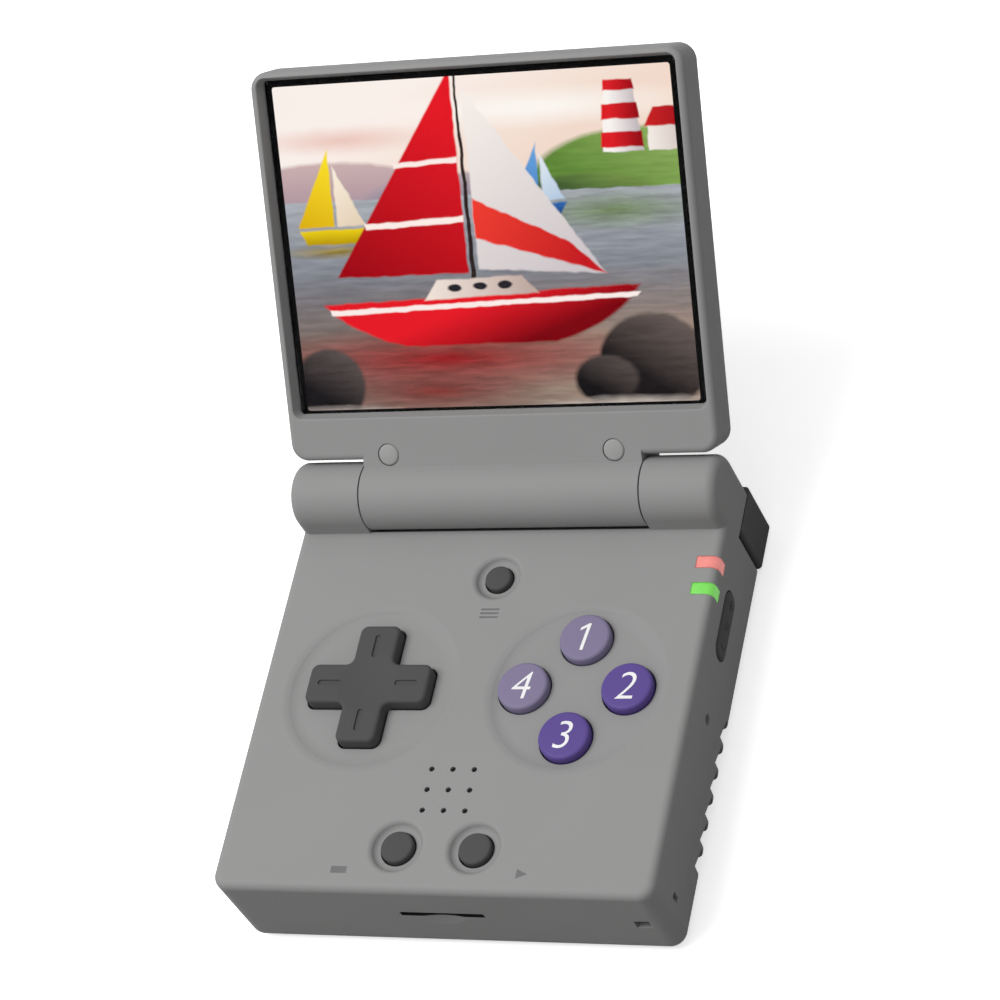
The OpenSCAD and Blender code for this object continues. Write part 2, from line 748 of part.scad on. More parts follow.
module pad_membrane()
    color([0.85, 0.85, 0.82])
    difference() {
        membrane([for (t = [0 : 90 : 270]) [-group_x + pad_dome_x * cos(t), group_y + pad_dome_x * sin(t)]],
            pad_dome_r, pad_dome_z)
            plate(-group_x, group_y, pad_sheet_w, pad_sheet_w, pad_sheet_r, board_top, board_top + sheet_t);
        rod_z(-group_x, group_y, 0, deck_z, pivot_ball_r + 0.1);
    }

module face_membrane()
    color([0.85, 0.85, 0.82])
    membrane([for (t = [0 : 90 : 270]) [group_x + face_ring * cos(t), group_y + face_ring * sin(t)]],
        face_dome_r, flange_top_z - flange_t - face_travel - dome_gap)
        plate(group_x, group_y, face_sheet_w, face_sheet_w, face_sheet_r, board_top, board_top + sheet_t);

module menu_membrane()
    color([0.85, 0.85, 0.82])
    membrane([[0, menu_y]], menu_dome_r, option_flange_z - flange_t - option_travel - dome_gap) {
        w = 2 * (menu_dome_r + key_sheet_margin);
        plate(0, menu_y, w, w, key_sheet_r, board_top, board_top + sheet_t);
    }

module option_membrane()
    color([0.85, 0.85, 0.82])
    membrane([[-option_x, option_y], [option_x, option_y]], option_dome_r,
        option_flange_z - flange_t - option_travel - dome_gap) {
        d = 2 * (option_dome_r + sheet_margin) + 0.6;
        plate(0, option_y, 2 * option_x + d, d, key_sheet_r, board_top, board_top + sheet_t);
    }

// A push switch that hangs under the board, with its plunger towards the right.
module side_switch(x, y, z) {
    box(x - 1.4, x, y - 1.4, y + 1.4, z - 0.8, board_z);
    rod_x(x - 0.1, x + 0.5, y, z, 0.5);
}

module side_switches()
    color([0.8, 0.8, 0.78]) {
        for (y = [side_key_y - volume_len * 0.35, side_key_y + volume_len * 0.35])
            side_switch(half_w - wall - volume_switch_gap, y, side_key_z);
        mirror([1, 0, 0]) side_switch(half_w - wall - power_switch_gap, side_key_y, side_key_z);
        side_switch(half_w - wall - reset_switch_gap, reset_y, reset_z);
    }

module shoulder_switches()
    color([0.8, 0.8, 0.78])
    both_sides() {
        box(shoulder_key_x - shoulder_key_w / 2, shoulder_key_x + shoulder_key_w / 2,
            board_back_y - shoulder_switch_d, pocket_y - pocket_wall, shoulder_key_z - 1.3, board_z);
        rod_y(shoulder_key_x, pocket_y - pocket_wall - 0.1, shoulder_front_y - shoulder_key_gap,
            shoulder_key_z, 0.5);
    }

module trigger_switches()
    color([0.8, 0.8, 0.78])
    both_sides() {
        box(trigger_x - 1.6, trigger_x + 1.6, trigger_end_y - 4.5, trigger_end_y - 1.4, trigger_z - 1,
            board_z);
        rod_y(trigger_x, trigger_end_y - 1.5, trigger_end_y - trigger_travel - dome_gap, trigger_z, 0.6);
    }

module shoulder_pins()
    color([0.75, 0.75, 0.78])
    both_sides() rod_z(pivot_x, pivot_y, 0.7, pocket_top_z + 1, pin_r);

module bushing() {
    difference() {
        rod_x(knuckle_x, knuckle_x + bushing_len, axis_y, axis_z, bushing_r);
        rod_x(knuckle_x - over, knuckle_x + bushing_len + over, axis_y, axis_z, stub_r + stub_gap);
    }
}

module left_bushing()
    color([0.7, 0.7, 0.72]) mirror([1, 0, 0]) bushing();

module right_bushing()
    color([0.7, 0.7, 0.72]) bushing();

module base_ribbon()
    color([0.75, 0.45, 0.1]) {
        foot = -knuckle_x - bore_depth + 0.2;
        width = 1.2;
        drop_y = rear_roof_y - 1.35;
        rod_x(foot, ribbon_w / 2, axis_y, axis_z, ribbon_core_r);
        box(foot, foot + width, axis_y - ribbon_t, axis_y, rear_roof_z + 1.2, axis_z);
        box(foot, foot + width, drop_y, axis_y, rear_roof_z + 1.2, rear_roof_z + 1.2 + ribbon_t);
        box(foot, foot + width, drop_y, drop_y + ribbon_t, board_top + 1, rear_roof_z + 1.3);
        box(foot - 0.3, foot + width + 0.3, drop_y - 1, drop_y + 1.2, board_top, board_top + 1);
    }

module base_screws()
    color([0.6, 0.6, 0.63])
    for (p = screw_spots)
        difference() {
            union() {
                rod_z(p[0], p[1], screw_head_z, screw_head_z + screw_head_t, screw_head_r);
                rod_z(p[0], p[1], screw_head_z, screw_tip_z, screw_r);
            }
            for (turn = [0, 90])
                translate([p[0], p[1], screw_head_z]) rotate(turn) cube([2, 0.4, 0.8], center = true);
        }

// ---- lid -----------------------------------------------------------------------------------------

module lid_face_block()
    rolled_block(0, lid_mid, lid_w, lid_len, lid_corner_r, lid_split_z, lid_face_z)
        edge_profile(lid_corner_r, lid_face_edge_r, lid_face_z - lid_split_z);

module lid_back_block()
    rolled_block(0, lid_mid, lid_w, lid_len, lid_corner_r, lid_back_z, lid_split_z)
        translate([0, lid_split_z - lid_back_z]) mirror([0, 1])
            edge_profile(lid_corner_r, lid_back_edge_r, lid_split_z - lid_back_z);

// Section of the window above the lens: its wall leans outwards and ends in a rounded rim.
module window_profile() {
    rim_x = window_corner_r + bezel_lean;
    rim_z = lens_depth - bezel_rim_r;
    difference() {
        union() {
            polygon([[0, 0], [window_corner_r, 0], [rim_x, rim_z], [rim_x, lens_depth + over],
                [0, lens_depth + over]]);
            translate([0, rim_z]) square([rim_x + bezel_rim_r, bezel_rim_r + over]);
        }
        translate([rim_x + bezel_rim_r, rim_z]) circle(bezel_rim_r);
    }
}

module window_cut() {
    plate(0, window_mid, window_w, window_h, 0.5, mask_z, lens_z + touch);
    rolled_block(0, window_mid, window_w, window_h, window_corner_r, lens_z, lid_face_z + over)
        window_profile();
}

module lid_frame()
    color(case_grey)
    at_hinge() difference() {
        union() {
            lid_face_block();
            rod_x(-barrel_end, barrel_end, 0, 0, barrel_r);
            box(-barrel_end, barrel_end, 0, web_y, lid_back_z, lid_face_z);
            box(-barrel_end, barrel_end, web_y - over, lid_start + 1.5, lid_split_z, lid_face_z);
        }
        window_cut();
        plate(0, picture_mid, cell_w + 2 * cell_gap, cell_h + 2 * cell_gap, 0.3, lid_split_z - over, lens_z);
        rod_x(-barrel_end - over, barrel_end + over, 0, 0, sleeve_r + touch);
        box(-ribbon_w / 2 - 0.5, ribbon_w / 2 + 0.5, 0, web_y + over, ribbon_z - 0.4,
            ribbon_z + ribbon_t + 0.3);
        both_sides() {
            rod_z(bumper_x, bumper_y, bumper_z, lid_face_z + over, bumper_r + 0.05);
            rod_z(bumper_x, bumper_y, 0.1, bumper_z + over / 2, lid_screw_head_r + 0.1);
            rod_z(bumper_x, bumper_y, lid_split_z - over, bumper_z, lid_screw_r + 0.1);
        }
    }

module lid_back()
    color(case_grey)
    at_hinge() difference() {
        union() {
            difference() {
                union() {
                    lid_back_block();
                    box(-barrel_end, barrel_end, web_y, lid_start + 2, lid_back_z, lid_split_z);
                }
                box(-lid_w / 2 + lid_wall, lid_w / 2 - lid_wall, lid_start + lid_wall,
                    lid_reach - lid_wall, lid_back_z + lid_wall, lid_split_z + over);
            }
            both_sides() box(bumper_x - 1.6, bumper_x + 1.6, lid_start + 0.5, lid_start + 2.6,
                lid_back_z + lid_wall / 2, lid_split_z);
        }
        both_sides() rod_z(bumper_x, bumper_y, lid_back_z + 0.7, lid_split_z + over,
            lid_screw_r + touch);
        box(-ribbon_w / 2 - 0.5, ribbon_w / 2 + 0.5, web_y - over, lid_start + 2, ribbon_z - 0.4,
            ribbon_z + ribbon_t + 0.3);
    }

module cover_lens()
    color([0.5, 0.55, 0.6, 0.3])
    at_hinge()
        plate(0, window_mid, window_w - 0.1, window_h - 0.1, 0.5, lens_z - lens_t, lens_z);

module lens_mask()
    color([0.02, 0.02, 0.02])
    at_hinge() difference() {
        plate(0, window_mid, window_w - 0.1, window_h - 0.1, 0.5, mask_z, mask_z + mask_t);
        plate(0, picture_mid, picture_w, picture_h, 0.4, mask_z - over, mask_z + over);
    }

module display_panel()
    color([0.15, 0.16, 0.18])
    at_hinge() {
        plate(0, picture_mid, cell_w, cell_h, 0.3, lid_split_z - 0.5, mask_z);
        plate(0, (tray_start + tray_end) / 2, tray_w, tray_end - tray_start, 0.6, tray_z, lid_split_z);
    }

module display_ribbon()
    color([0.75, 0.45, 0.1])
    at_hinge() {
        difference() {
            rod_x(-ribbon_w / 2, ribbon_w / 2, 0, 0, roll_r);
            rod_x(-ribbon_w / 2 - over, ribbon_w / 2 + over, 0, 0, ribbon_core_r + 0.1);
        }
        box(-ribbon_w / 2, ribbon_w / 2, 0, tray_start, ribbon_z, ribbon_z + ribbon_t);
    }

module hinge_stub(bore_r)
    difference() {
        union() {
            rod_x(barrel_end - sleeve_len, barrel_end, 0, 0, sleeve_r);
            rod_x(barrel_end - over, knuckle_x + bushing_len - stub_short, 0, 0, stub_r);
        }
        if (bore_r > 0)
            rod_x(barrel_end - sleeve_len - over, knuckle_x + bushing_len, 0, 0, bore_r);
    }

module hinge_sleeve()
    color([0.7, 0.7, 0.72]) at_hinge() mirror([1, 0, 0]) hinge_stub(sleeve_bore_r);

module hinge_cartridge()
    color([0.7, 0.7, 0.72]) at_hinge() hinge_stub(0);

module lid_pads()
    color([0.62, 0.62, 0.62])
    at_hinge() both_sides() rod_z(bumper_x, bumper_y, bumper_z, lid_face_z + 0.2, bumper_r);

module lid_screws()
    color([0.6, 0.6, 0.63])
    at_hinge() both_sides() {
        rod_z(bumper_x, bumper_y, 0.1, bumper_z - 0.05, lid_screw_head_r);
        rod_z(bumper_x, bumper_y, lid_back_z + 0.9, 0.5, lid_screw_r);
    }

module lid_magnet()
    color([0.6, 0.6, 0.63])
    at_hinge() rod_z(magnet_x, lid_start + lid_wall + magnet_r, lid_back_z + lid_wall,
        lid_back_z + lid_wall + magnet_t, magnet_r);

// ---- controls ------------------------------------------------------------------------------------

module pad_pivot()
    color([0.75, 0.75, 0.78])
    translate([-group_x, group_y, pivot_z]) sphere(pivot_ball_r);

module direction_pad()
    color(key_grey)
    difference() {
        union() {
            for (turn = [0, 90])
                translate([-group_x, group_y, 0]) rotate(turn)
                    soft_block(0, 0, pad_span, pad_arm_w, pad_tip_r, pad_edge_r, pad_flange_z,
                        deck_z + pad_rise);
            pad_cross(pad_flange_lip, 2, pad_flange_z, pad_flange_z + flange_t);
        }
        translate([-group_x, group_y, pivot_z]) sphere(pivot_ball_r + dome_gap);
        translate([-group_x, group_y, deck_z + pad_rise + pad_hollow_r - pad_hollow_depth])
            sphere(pad_hollow_r);
    }

module face_button(turn)
    translate([group_x + face_ring * cos(turn), group_y + face_ring * sin(turn), 0]) {
        translate([0, 0, flange_top_z - flange_t]) cylinder(h = flange_t, r = face_r + 0.8);
        rotate_extrude() {
            top = deck_z + face_rise;
            edge = 0.45;
            translate([0, flange_top_z - flange_t]) square([face_r, top - edge - flange_top_z + flange_t]);
            translate([0, flange_top_z]) square([face_r - edge, top - flange_top_z]);
            translate([face_r - edge, top - edge]) circle(edge);
        }
    }

module face_button_right()
    color(face_purple) face_button(0);

module face_button_top()
    color(face_lilac) face_button(90);

module face_button_left()
    color(face_lilac) face_button(180);

module face_button_bottom()
    color(face_purple) face_button(270);

module small_button(x, y, r)
    translate([x, y, 0]) {
        top = option_floor_z + option_rise;
        translate([0, 0, option_flange_z - flange_t]) cylinder(h = flange_t, r = r + 0.7);
        rotate_extrude() {
            edge = 0.35;
            translate([0, option_flange_z - flange_t])
                square([r, top - edge - option_flange_z + flange_t]);
            translate([0, option_flange_z]) square([r - edge, top - option_flange_z]);
            translate([r - edge, top - edge]) circle(edge);
        }
    }

module menu_button()
    color(key_grey) small_button(0, menu_y, menu_r);

module select_button()
    color(key_grey) small_button(-option_x, option_y, option_r);

module start_button()
    color(key_grey) small_button(option_x, option_y, option_r);

module volume_rocker()
    color(key_grey) {
        slot_x(side_key_y, side_key_z, volume_len, volume_h, volume_h / 2 - 0.1, half_w - wall - 0.8,
            half_w + 0.3);
        slot_x(side_key_y, side_key_z, volume_len + 2, volume_h + 0.6, 1, half_w - wall - 1,
            half_w - wall - 0.4);
    }

module power_button()
    color(key_grey) {
        slot_x(side_key_y, side_key_z, power_len, power_h, power_h / 2 - 0.1, -half_w - 0.3,
            -half_w + wall + 0.8);
        slot_x(side_key_y, side_key_z, power_len + 1.4, power_h + 1, 1, -half_w + wall + 0.1,
            -half_w + wall + 0.8);
    }

module shoulder_block(x0, z0) {
    back_y = half_d + shoulder_proud;
    plate((x0 + half_w) / 2, (shoulder_front_y + back_y) / 2, half_w - x0, back_y - shoulder_front_y,
        shoulder_edge_r, z0, shoulder_top_z);
}

module shoulder()
    difference() {
        union() {
            shoulder_block(lug_x + 0.3, shoulder_foot_z);
            shoulder_block(pocket_x + 0.3, lug_top_z + 0.3);
        }
        rod_z(pivot_x, pivot_y, 0, pocket_top_z + over, pin_r + stub_gap);
    }

module left_shoulder()
    color(key_grey) mirror([1, 0, 0]) shoulder();

module right_shoulder()
    color(key_grey) shoulder();

module trigger() {
    slot_y(trigger_x, trigger_z, trigger_w, trigger_z1 - trigger_z0, 0.5, trigger_end_y,
        half_d + shoulder_proud);
    slot_y(trigger_x, trigger_z, trigger_w + 2 * trigger_lip, trigger_z1 - trigger_z0 + 1, 0.5,
        half_d - wall - 0.8, half_d - wall - 0.1);
}

module left_trigger()
    color(key_grey) mirror([1, 0, 0]) trigger();

module right_trigger()
    color(key_grey) trigger();

module memory_card()
    color([0.08, 0.08, 0.1])
    plate(0, card_end_y - card_size[1] / 2, card_size[0], card_size[1], 0.6,
        card_z - card_size[2] / 2, card_z + card_size[2] / 2);

bottom_case();
top_case();
main_board();
battery();
speaker();
card_socket();
usb_socket();
headphone_socket();
power_light_pipe();
charge_light_pipe();
status_leds();
pad_membrane();
face_membrane();
menu_membrane();
option_membrane();
side_switches();
shoulder_switches();
trigger_switches();
shoulder_pins();
left_bushing();
right_bushing();
base_ribbon();
base_screws();
lid_frame();
lid_back();
cover_lens();
lens_mask();
display_panel();
display_ribbon();
hinge_sleeve();
hinge_cartridge();
lid_pads();
lid_screws();
lid_magnet();
pad_pivot();
direction_pad();
face_button_right();
face_button_bottom();
face_button_top();
face_button_left();
menu_button();
select_button();
start_button();
volume_rocker();
power_button();
left_shoulder();
right_shoulder();
left_trigger();
right_trigger();
memory_card();
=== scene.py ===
import bpy
import bmesh
import math
from mathutils import Euler, Matrix, Vector
from mathutils.geometry import delaunay_2d_cdt


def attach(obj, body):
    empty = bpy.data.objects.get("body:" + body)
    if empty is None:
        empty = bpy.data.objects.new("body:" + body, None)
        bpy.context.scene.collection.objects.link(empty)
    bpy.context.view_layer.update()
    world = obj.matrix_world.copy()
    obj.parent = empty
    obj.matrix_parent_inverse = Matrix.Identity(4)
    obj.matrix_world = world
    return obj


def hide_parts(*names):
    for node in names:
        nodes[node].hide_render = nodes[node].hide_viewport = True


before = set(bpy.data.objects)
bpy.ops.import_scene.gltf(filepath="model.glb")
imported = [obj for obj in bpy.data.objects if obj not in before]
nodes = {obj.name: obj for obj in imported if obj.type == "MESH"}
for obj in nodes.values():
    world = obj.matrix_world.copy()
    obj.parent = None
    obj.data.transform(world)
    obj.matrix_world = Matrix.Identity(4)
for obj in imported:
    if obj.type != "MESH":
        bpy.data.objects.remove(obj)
scene = bpy.context.scene


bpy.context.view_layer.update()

mm = 0.001
perMetre = 1000.0         # millimetres in a metre, for textures laid out in object space
deckHeight = 15.15        # mm, top of the flat deck
hingeY = 26.85            # mm, hinge axis
hingeZ = 17.4
lidTilt = 44.9            # degrees, slope of the open lid


def tone(red, green, blue, alpha=1.0):
    # screen colour 0-255 to the linear value that a shader socket takes
    def straight(value):
        value /= 255
        return value / 12.92 if value <= 0.04045 else ((value + 0.055) / 1.055) ** 2.4
    return (straight(red), straight(green), straight(blue), alpha)


def makeObject(name, points, faces, body, slot, place=None, material=None):
    mesh = bpy.data.meshes.new(name)
    mesh.from_pydata([tuple(c * mm for c in p) for p in points], [], faces)
    mesh.validate()
    cleaner = bmesh.new()
    cleaner.from_mesh(mesh)
    bmesh.ops.remove_doubles(cleaner, verts=cleaner.verts, dist=1e-7)
    bmesh.ops.recalc_face_normals(cleaner, faces=cleaner.faces)
    cleaner.to_mesh(mesh)
    cleaner.free()
    piece = bpy.data.objects.new(name, mesh)
    scene.collection.objects.link(piece)
    mesh.materials.append(material or finishes[slot])
    if place is not None:
        piece.matrix_world = place
    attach(piece, body)
    return piece


def smoothShade(piece, angle=38):
    for face in piece.data.polygons:
        face.use_smooth = True
    piece.data.set_sharp_from_angle(angle=math.radians(angle))


# camera: place in metres, turn in degrees
cameraView = {
    "place": (0.204537, -0.22952, 0.418722),
    "turn": (34.4451, 20.1035, 12.2373),
    "lens": 139.550176,
}


def addCamera(view):
    data = bpy.data.cameras.new("viewCamera")
    data.lens = view["lens"]
    data.sensor_width = 36
    data.clip_start = 0.01
    data.clip_end = 20
    camera = bpy.data.objects.new("viewCamera", data)
    camera.location = view["place"]
    camera.rotation_euler = Euler([math.radians(a) for a in view["turn"]], "XYZ")
    scene.collection.objects.link(camera)
    scene.camera = camera


addCamera(cameraView)


# node groups that the materials share
def newGroup(name, inputs, outputs):
    group = bpy.data.node_groups.new(name, "ShaderNodeTree")
    for label, kind, value in inputs:
        socket = group.interface.new_socket(name=label, in_out="INPUT", socket_type=kind)
        socket.default_value = value
    for label, kind in outputs:
        group.interface.new_socket(name=label, in_out="OUTPUT", socket_type=kind)
    start = group.nodes.new("NodeGroupInput")
    end = group.nodes.new("NodeGroupOutput")
    return group, start, end


def feedNode(tree, node, feeds):
    # another node's output is linked, a number or a colour is set on the socket itself
    for label, value in feeds.items():
        if isinstance(value, bpy.types.NodeSocket):
            tree.links.new(value, node.inputs[label])
        else:
            node.inputs[label].default_value = value


def addNode(tree, kind, feeds=None, **settings):
    node = tree.nodes.new(kind)
    for key, value in settings.items():
        setattr(node, key, value)
    feedNode(tree, node, feeds or {})
    return node


def mathNode(tree, operation, a, b=None, c=None, clamp=False):
    feeds = {index: value for index, value in enumerate((a, b, c)) if value is not None}
    return addNode(tree, "ShaderNodeMath", feeds, operation=operation, use_clamp=clamp).outputs[0]


def mixColour(tree, factor, first, second):
    feeds = {0: factor, 6: first, 7: second}      # the sockets for colours
    return addNode(tree, "ShaderNodeMix", feeds, data_type="RGBA").outputs[2]


def rangeNode(tree, value, low, high, toLow=0.0, toHigh=1.0):
    feeds = {"Value": value, "From Min": low, "From Max": high, "To Min": toLow, "To Max": toHigh}
    return addNode(tree, "ShaderNodeMapRange", feeds).outputs["Result"]


def objectPlace(tree):
    return addNode(tree, "ShaderNodeTexCoord").outputs["Object"]


def noiseField(group, place, size, detail, roughness=0.5):
    # noise with a feature size in millimetres, taken from a socket of the group
    scale = mathNode(group, "DIVIDE", perMetre, size)
    feeds = {"Vector": place, "Scale": scale, "Detail": detail, "Roughness": roughness}
    return addNode(group, "ShaderNodeTexNoise", feeds).outputs["Fac"]


def buildMouldedGrain():
    # fine spark-eroded texture of a moulded face, with a slow drift in the gloss
    fleckScale = 0.62 * perMetre
    group, start, end = newGroup(
        "mouldedGrain",
        [("Grain Size", "NodeSocketFloat", 0.12), ("Drift Size", "NodeSocketFloat", 9.0)],
        [("Height", "NodeSocketFloat"), ("Drift", "NodeSocketFloat"), ("Fleck", "NodeSocketFloat")],
    )
    place = objectPlace(group)
    grain = noiseField(group, place, start.outputs["Grain Size"], 3, 0.6)
    drift = noiseField(group, place, start.outputs["Drift Size"], 2)
    scale = mathNode(group, "DIVIDE", fleckScale, start.outputs["Grain Size"])
    fleck = addNode(group, "ShaderNodeTexVoronoi", {"Vector": place, "Scale": scale})
    feedNode(group, end, {
        "Height": grain,
        "Drift": rangeNode(group, drift, 0.3, 0.7),
        "Fleck": rangeNode(group, fleck.outputs["Distance"], 0.0, 0.9),
    })
    return group


def buildEdgeWearAndRimShade():
    # where the surface turns within a short distance, broken up by noise
    group, start, end = newGroup(
        "edgeWearAndRimShade",
        [("Radius", "NodeSocketFloat", 0.00025), ("Patch Size", "NodeSocketFloat", 2.5)],
        [("Mask", "NodeSocketFloat"), ("Soft Normal", "NodeSocketVector")],
    )
    bevel = addNode(group, "ShaderNodeBevel", {"Radius": start.outputs["Radius"]}, samples=4)
    surface = addNode(group, "ShaderNodeNewGeometry")
    normals = {0: bevel.outputs["Normal"], 1: surface.outputs["Normal"]}
    closeness = addNode(group, "ShaderNodeVectorMath", normals, operation="DOT_PRODUCT")
    turn = rangeNode(group, closeness.outputs["Value"], 1.0, 0.8)
    patch = noiseField(group, objectPlace(group), start.outputs["Patch Size"], 4)
    broken = rangeNode(group, patch, 0.35, 0.65, 0.35, 1.0)
    mask = mathNode(group, "MULTIPLY", turn, broken, clamp=True)
    feedNode(group, end, {"Mask": mask, "Soft Normal": bevel.outputs["Normal"]})
    return group


def buildBrushLines():
    # straight drawn lines of worked metal
    group, start, end = newGroup(
        "brushLines",
        [("Line Width", "NodeSocketFloat", 0.08), ("Stretch", "NodeSocketFloat", 18.0)],
        [("Height", "NodeSocketFloat"), ("Sheen", "NodeSocketFloat")],
    )
    across = mathNode(group, "DIVIDE", perMetre, start.outputs["Line Width"])
    along = mathNode(group, "DIVIDE", across, start.outputs["Stretch"])
    joined = addNode(group, "ShaderNodeCombineXYZ", {"X": along, "Y": across, "Z": across})
    factors = {0: objectPlace(group), 1: joined.outputs["Vector"]}
    scaled = addNode(group, "ShaderNodeVectorMath", factors, operation="MULTIPLY").outputs["Vector"]
    noise = addNode(group, "ShaderNodeTexNoise", {"Vector": scaled, "Scale": 1.0, "Detail": 3})
    lines = noise.outputs["Fac"]
    feedNode(group, end, {"Height": lines, "Sheen": rangeNode(group, lines, 0.35, 0.65)})
    return group


mouldedGrain = buildMouldedGrain()
edgeWearAndRimShade = buildEdgeWearAndRimShade()
brushLines = buildBrushLines()
print("shared groups built: 3")


def startMaterial(name):
    material = bpy.data.materials.new(name)
    material.use_nodes = True
    tree = material.node_tree
    shader = tree.nodes["Principled BSDF"]
    return material, tree, shader


def placeGroup(tree, group, *values):
    # the values follow the order of the group's inputs
    return addNode(tree, "ShaderNodeGroup", dict(enumerate(values)), node_tree=group)


def bumpFrom(tree, height, strength, distance, normal=None):
    feeds = {"Strength": strength, "Distance": distance, "Height": height}
    if normal is not None:
        feeds["Normal"] = normal
    return addNode(tree, "ShaderNodeBump", feeds).outputs["Normal"]


def mouldedPlastic(name, look):
    material, tree, shader = startMaterial(name)
    grain = placeGroup(tree, mouldedGrain, look["grain"], look["drift"]).outputs
    wear = placeGroup(tree, edgeWearAndRimShade, look["edge"], look["patch"]).outputs
    base = mixColour(tree, grain["Drift"], look["colour"], look["shade"])
    flecks = mathNode(tree, "MULTIPLY", grain["Fleck"], look["fleck"])
    flecked = mixColour(tree, flecks, base, look["worn"])
    edges = mathNode(tree, "MULTIPLY", wear["Mask"], look["wear"])
    low, high = look["rough"] - look["spread"], look["rough"] + look["spread"]
    rough = rangeNode(tree, grain["Drift"], 0.0, 1.0, low, high)
    polish = mathNode(tree, "MULTIPLY", wear["Mask"], look["polish"])
    feedNode(tree, shader, {
        "Base Color": mixColour(tree, edges, flecked, look["worn"]),
        "Roughness": mathNode(tree, "ADD", rough, polish, clamp=True),
        "Normal": bumpFrom(tree, grain["Height"], look["bump"], 0.00002, wear["Soft Normal"]),
        "Specular IOR Level": look["specular"],
    })
    return material


def grown(colour, factor):
    return (colour[0] * factor, colour[1] * factor, colour[2] * factor, 1.0)


caseGrey = (0.27, 0.27, 0.268, 1.0)
keyGrey = (0.074, 0.074, 0.074, 1.0)
purple = (0.102, 0.067, 0.262, 1.0)
lilac = (0.205, 0.178, 0.283, 1.0)


def plasticLook(colour, **changes):
    look = {
        "colour": grown(colour, 0.985), "shade": grown(colour, 1.015), "worn": grown(colour, 1.45),
        "grain": 0.12, "drift": 11.0, "edge": 0.00012, "patch": 2.5, "fleck": 0.06, "wear": 0.22,
        "rough": 0.58, "spread": 0.03, "polish": -0.12, "bump": 0.18, "specular": 0.13,
    }
    look.update(changes)
    return look


plastics = {
    "case_plastic": plasticLook(caseGrey),
    "dark_keys": plasticLook(keyGrey, rough=0.6, fleck=0.04, specular=0.08),
    "purple_keys": plasticLook(purple, rough=0.38, fleck=0.03, bump=0.1),
    "lilac_keys": plasticLook(lilac, rough=0.4, fleck=0.03, bump=0.1),
    "black_plastic": plasticLook((0.012, 0.012, 0.013, 1.0), rough=0.45, fleck=0.02),
    "switch_plastic": plasticLook((0.03, 0.03, 0.032, 1.0), rough=0.4, fleck=0.02, grain=0.08),
    "bumper_rubber": plasticLook((0.32, 0.32, 0.316, 1.0), rough=0.62, fleck=0.04, bump=0.25),
}


def plainFinish(name, look):
    # grain, brushed lines or both drive the colour, the gloss and the bump
    material, tree, shader = startMaterial(name)
    grain = placeGroup(tree, mouldedGrain, *look["grain"]).outputs if "grain" in look else None
    lines = placeGroup(tree, brushLines, *look["lines"]).outputs if "lines" in look else None
    blend = grain["Drift"] if grain else lines["Sheen"]
    gloss = lines["Sheen"] if lines else grain["Fleck"]
    soft = None
    if "wear" in look:
        soft = placeGroup(tree, edgeWearAndRimShade, *look["wear"]).outputs["Soft Normal"]
    feeds = dict(look.get("sockets", {}))
    feeds["Base Color"] = mixColour(tree, blend, *look["colours"])
    feeds["Roughness"] = rangeNode(tree, gloss, 0, 1, *look["rough"])
    if "bump" in look:
        feeds["Normal"] = bumpFrom(tree, (grain or lines)["Height"], *look["bump"], soft)
    feedNode(tree, shader, feeds)
    return material


# colours are the two ends of the drift, rough is its range, bump is strength and distance
plainLooks = {
    "screen_black": {"grain": (0.09, 14.0), "rough": (0.3, 0.4), "bump": (0.08, 0.00001),
                     "colours": ((0.0015, 0.0015, 0.0018, 1), (0.0026, 0.0026, 0.003, 1)),
                     "sockets": {"Specular IOR Level": 0.05}},
    "lens_glass": {"grain": (2.0, 20.0), "rough": (0.0, 0.012),
                   "colours": ((0.985, 0.99, 0.99, 1), (1, 1, 1, 1)),
                   "sockets": {"Transmission Weight": 1.0, "IOR": 1.07}},
    "steel": {"lines": (0.06, 16.0), "rough": (0.28, 0.42), "bump": (0.2, 0.00001),
              "colours": ((0.5, 0.5, 0.51, 1), (0.66, 0.66, 0.67, 1)),
              "wear": (0.0001, 1.5), "sockets": {"Metallic": 1.0}},
    "display_metal": {"lines": (0.12, 8.0), "rough": (0.35, 0.5), "bump": (0.15, 0.00001),
                      "colours": ((0.2, 0.21, 0.22, 1), (0.3, 0.31, 0.32, 1)),
                      "sockets": {"Metallic": 1.0}},
    "battery_foil": {"grain": (1.4, 9.0), "lines": (0.3, 6.0), "rough": (0.3, 0.46),
                     "colours": ((0.36, 0.37, 0.39, 1), (0.5, 0.51, 0.53, 1)),
                     "bump": (0.5, 0.0002), "sockets": {"Metallic": 0.85}},
    "silicone": {"grain": (0.2, 6.0), "rough": (0.5, 0.62), "bump": (0.2, 0.00002),
                 "colours": ((0.42, 0.43, 0.44, 1), (0.5, 0.51, 0.52, 1))},
}
printLooks = {
    "printWhite": {"grain": (0.15, 3.0), "rough": (0.4, 0.5), "bump": (0.1, 0.00001),
                   "colours": ((0.78, 0.78, 0.78, 1), (0.84, 0.84, 0.84, 1))},
    "printDark": {"grain": (0.15, 3.0), "rough": (0.5, 0.6), "bump": (0.1, 0.00001),
                  "colours": ((0.1, 0.1, 0.1, 1), (0.13, 0.13, 0.13, 1))},
}


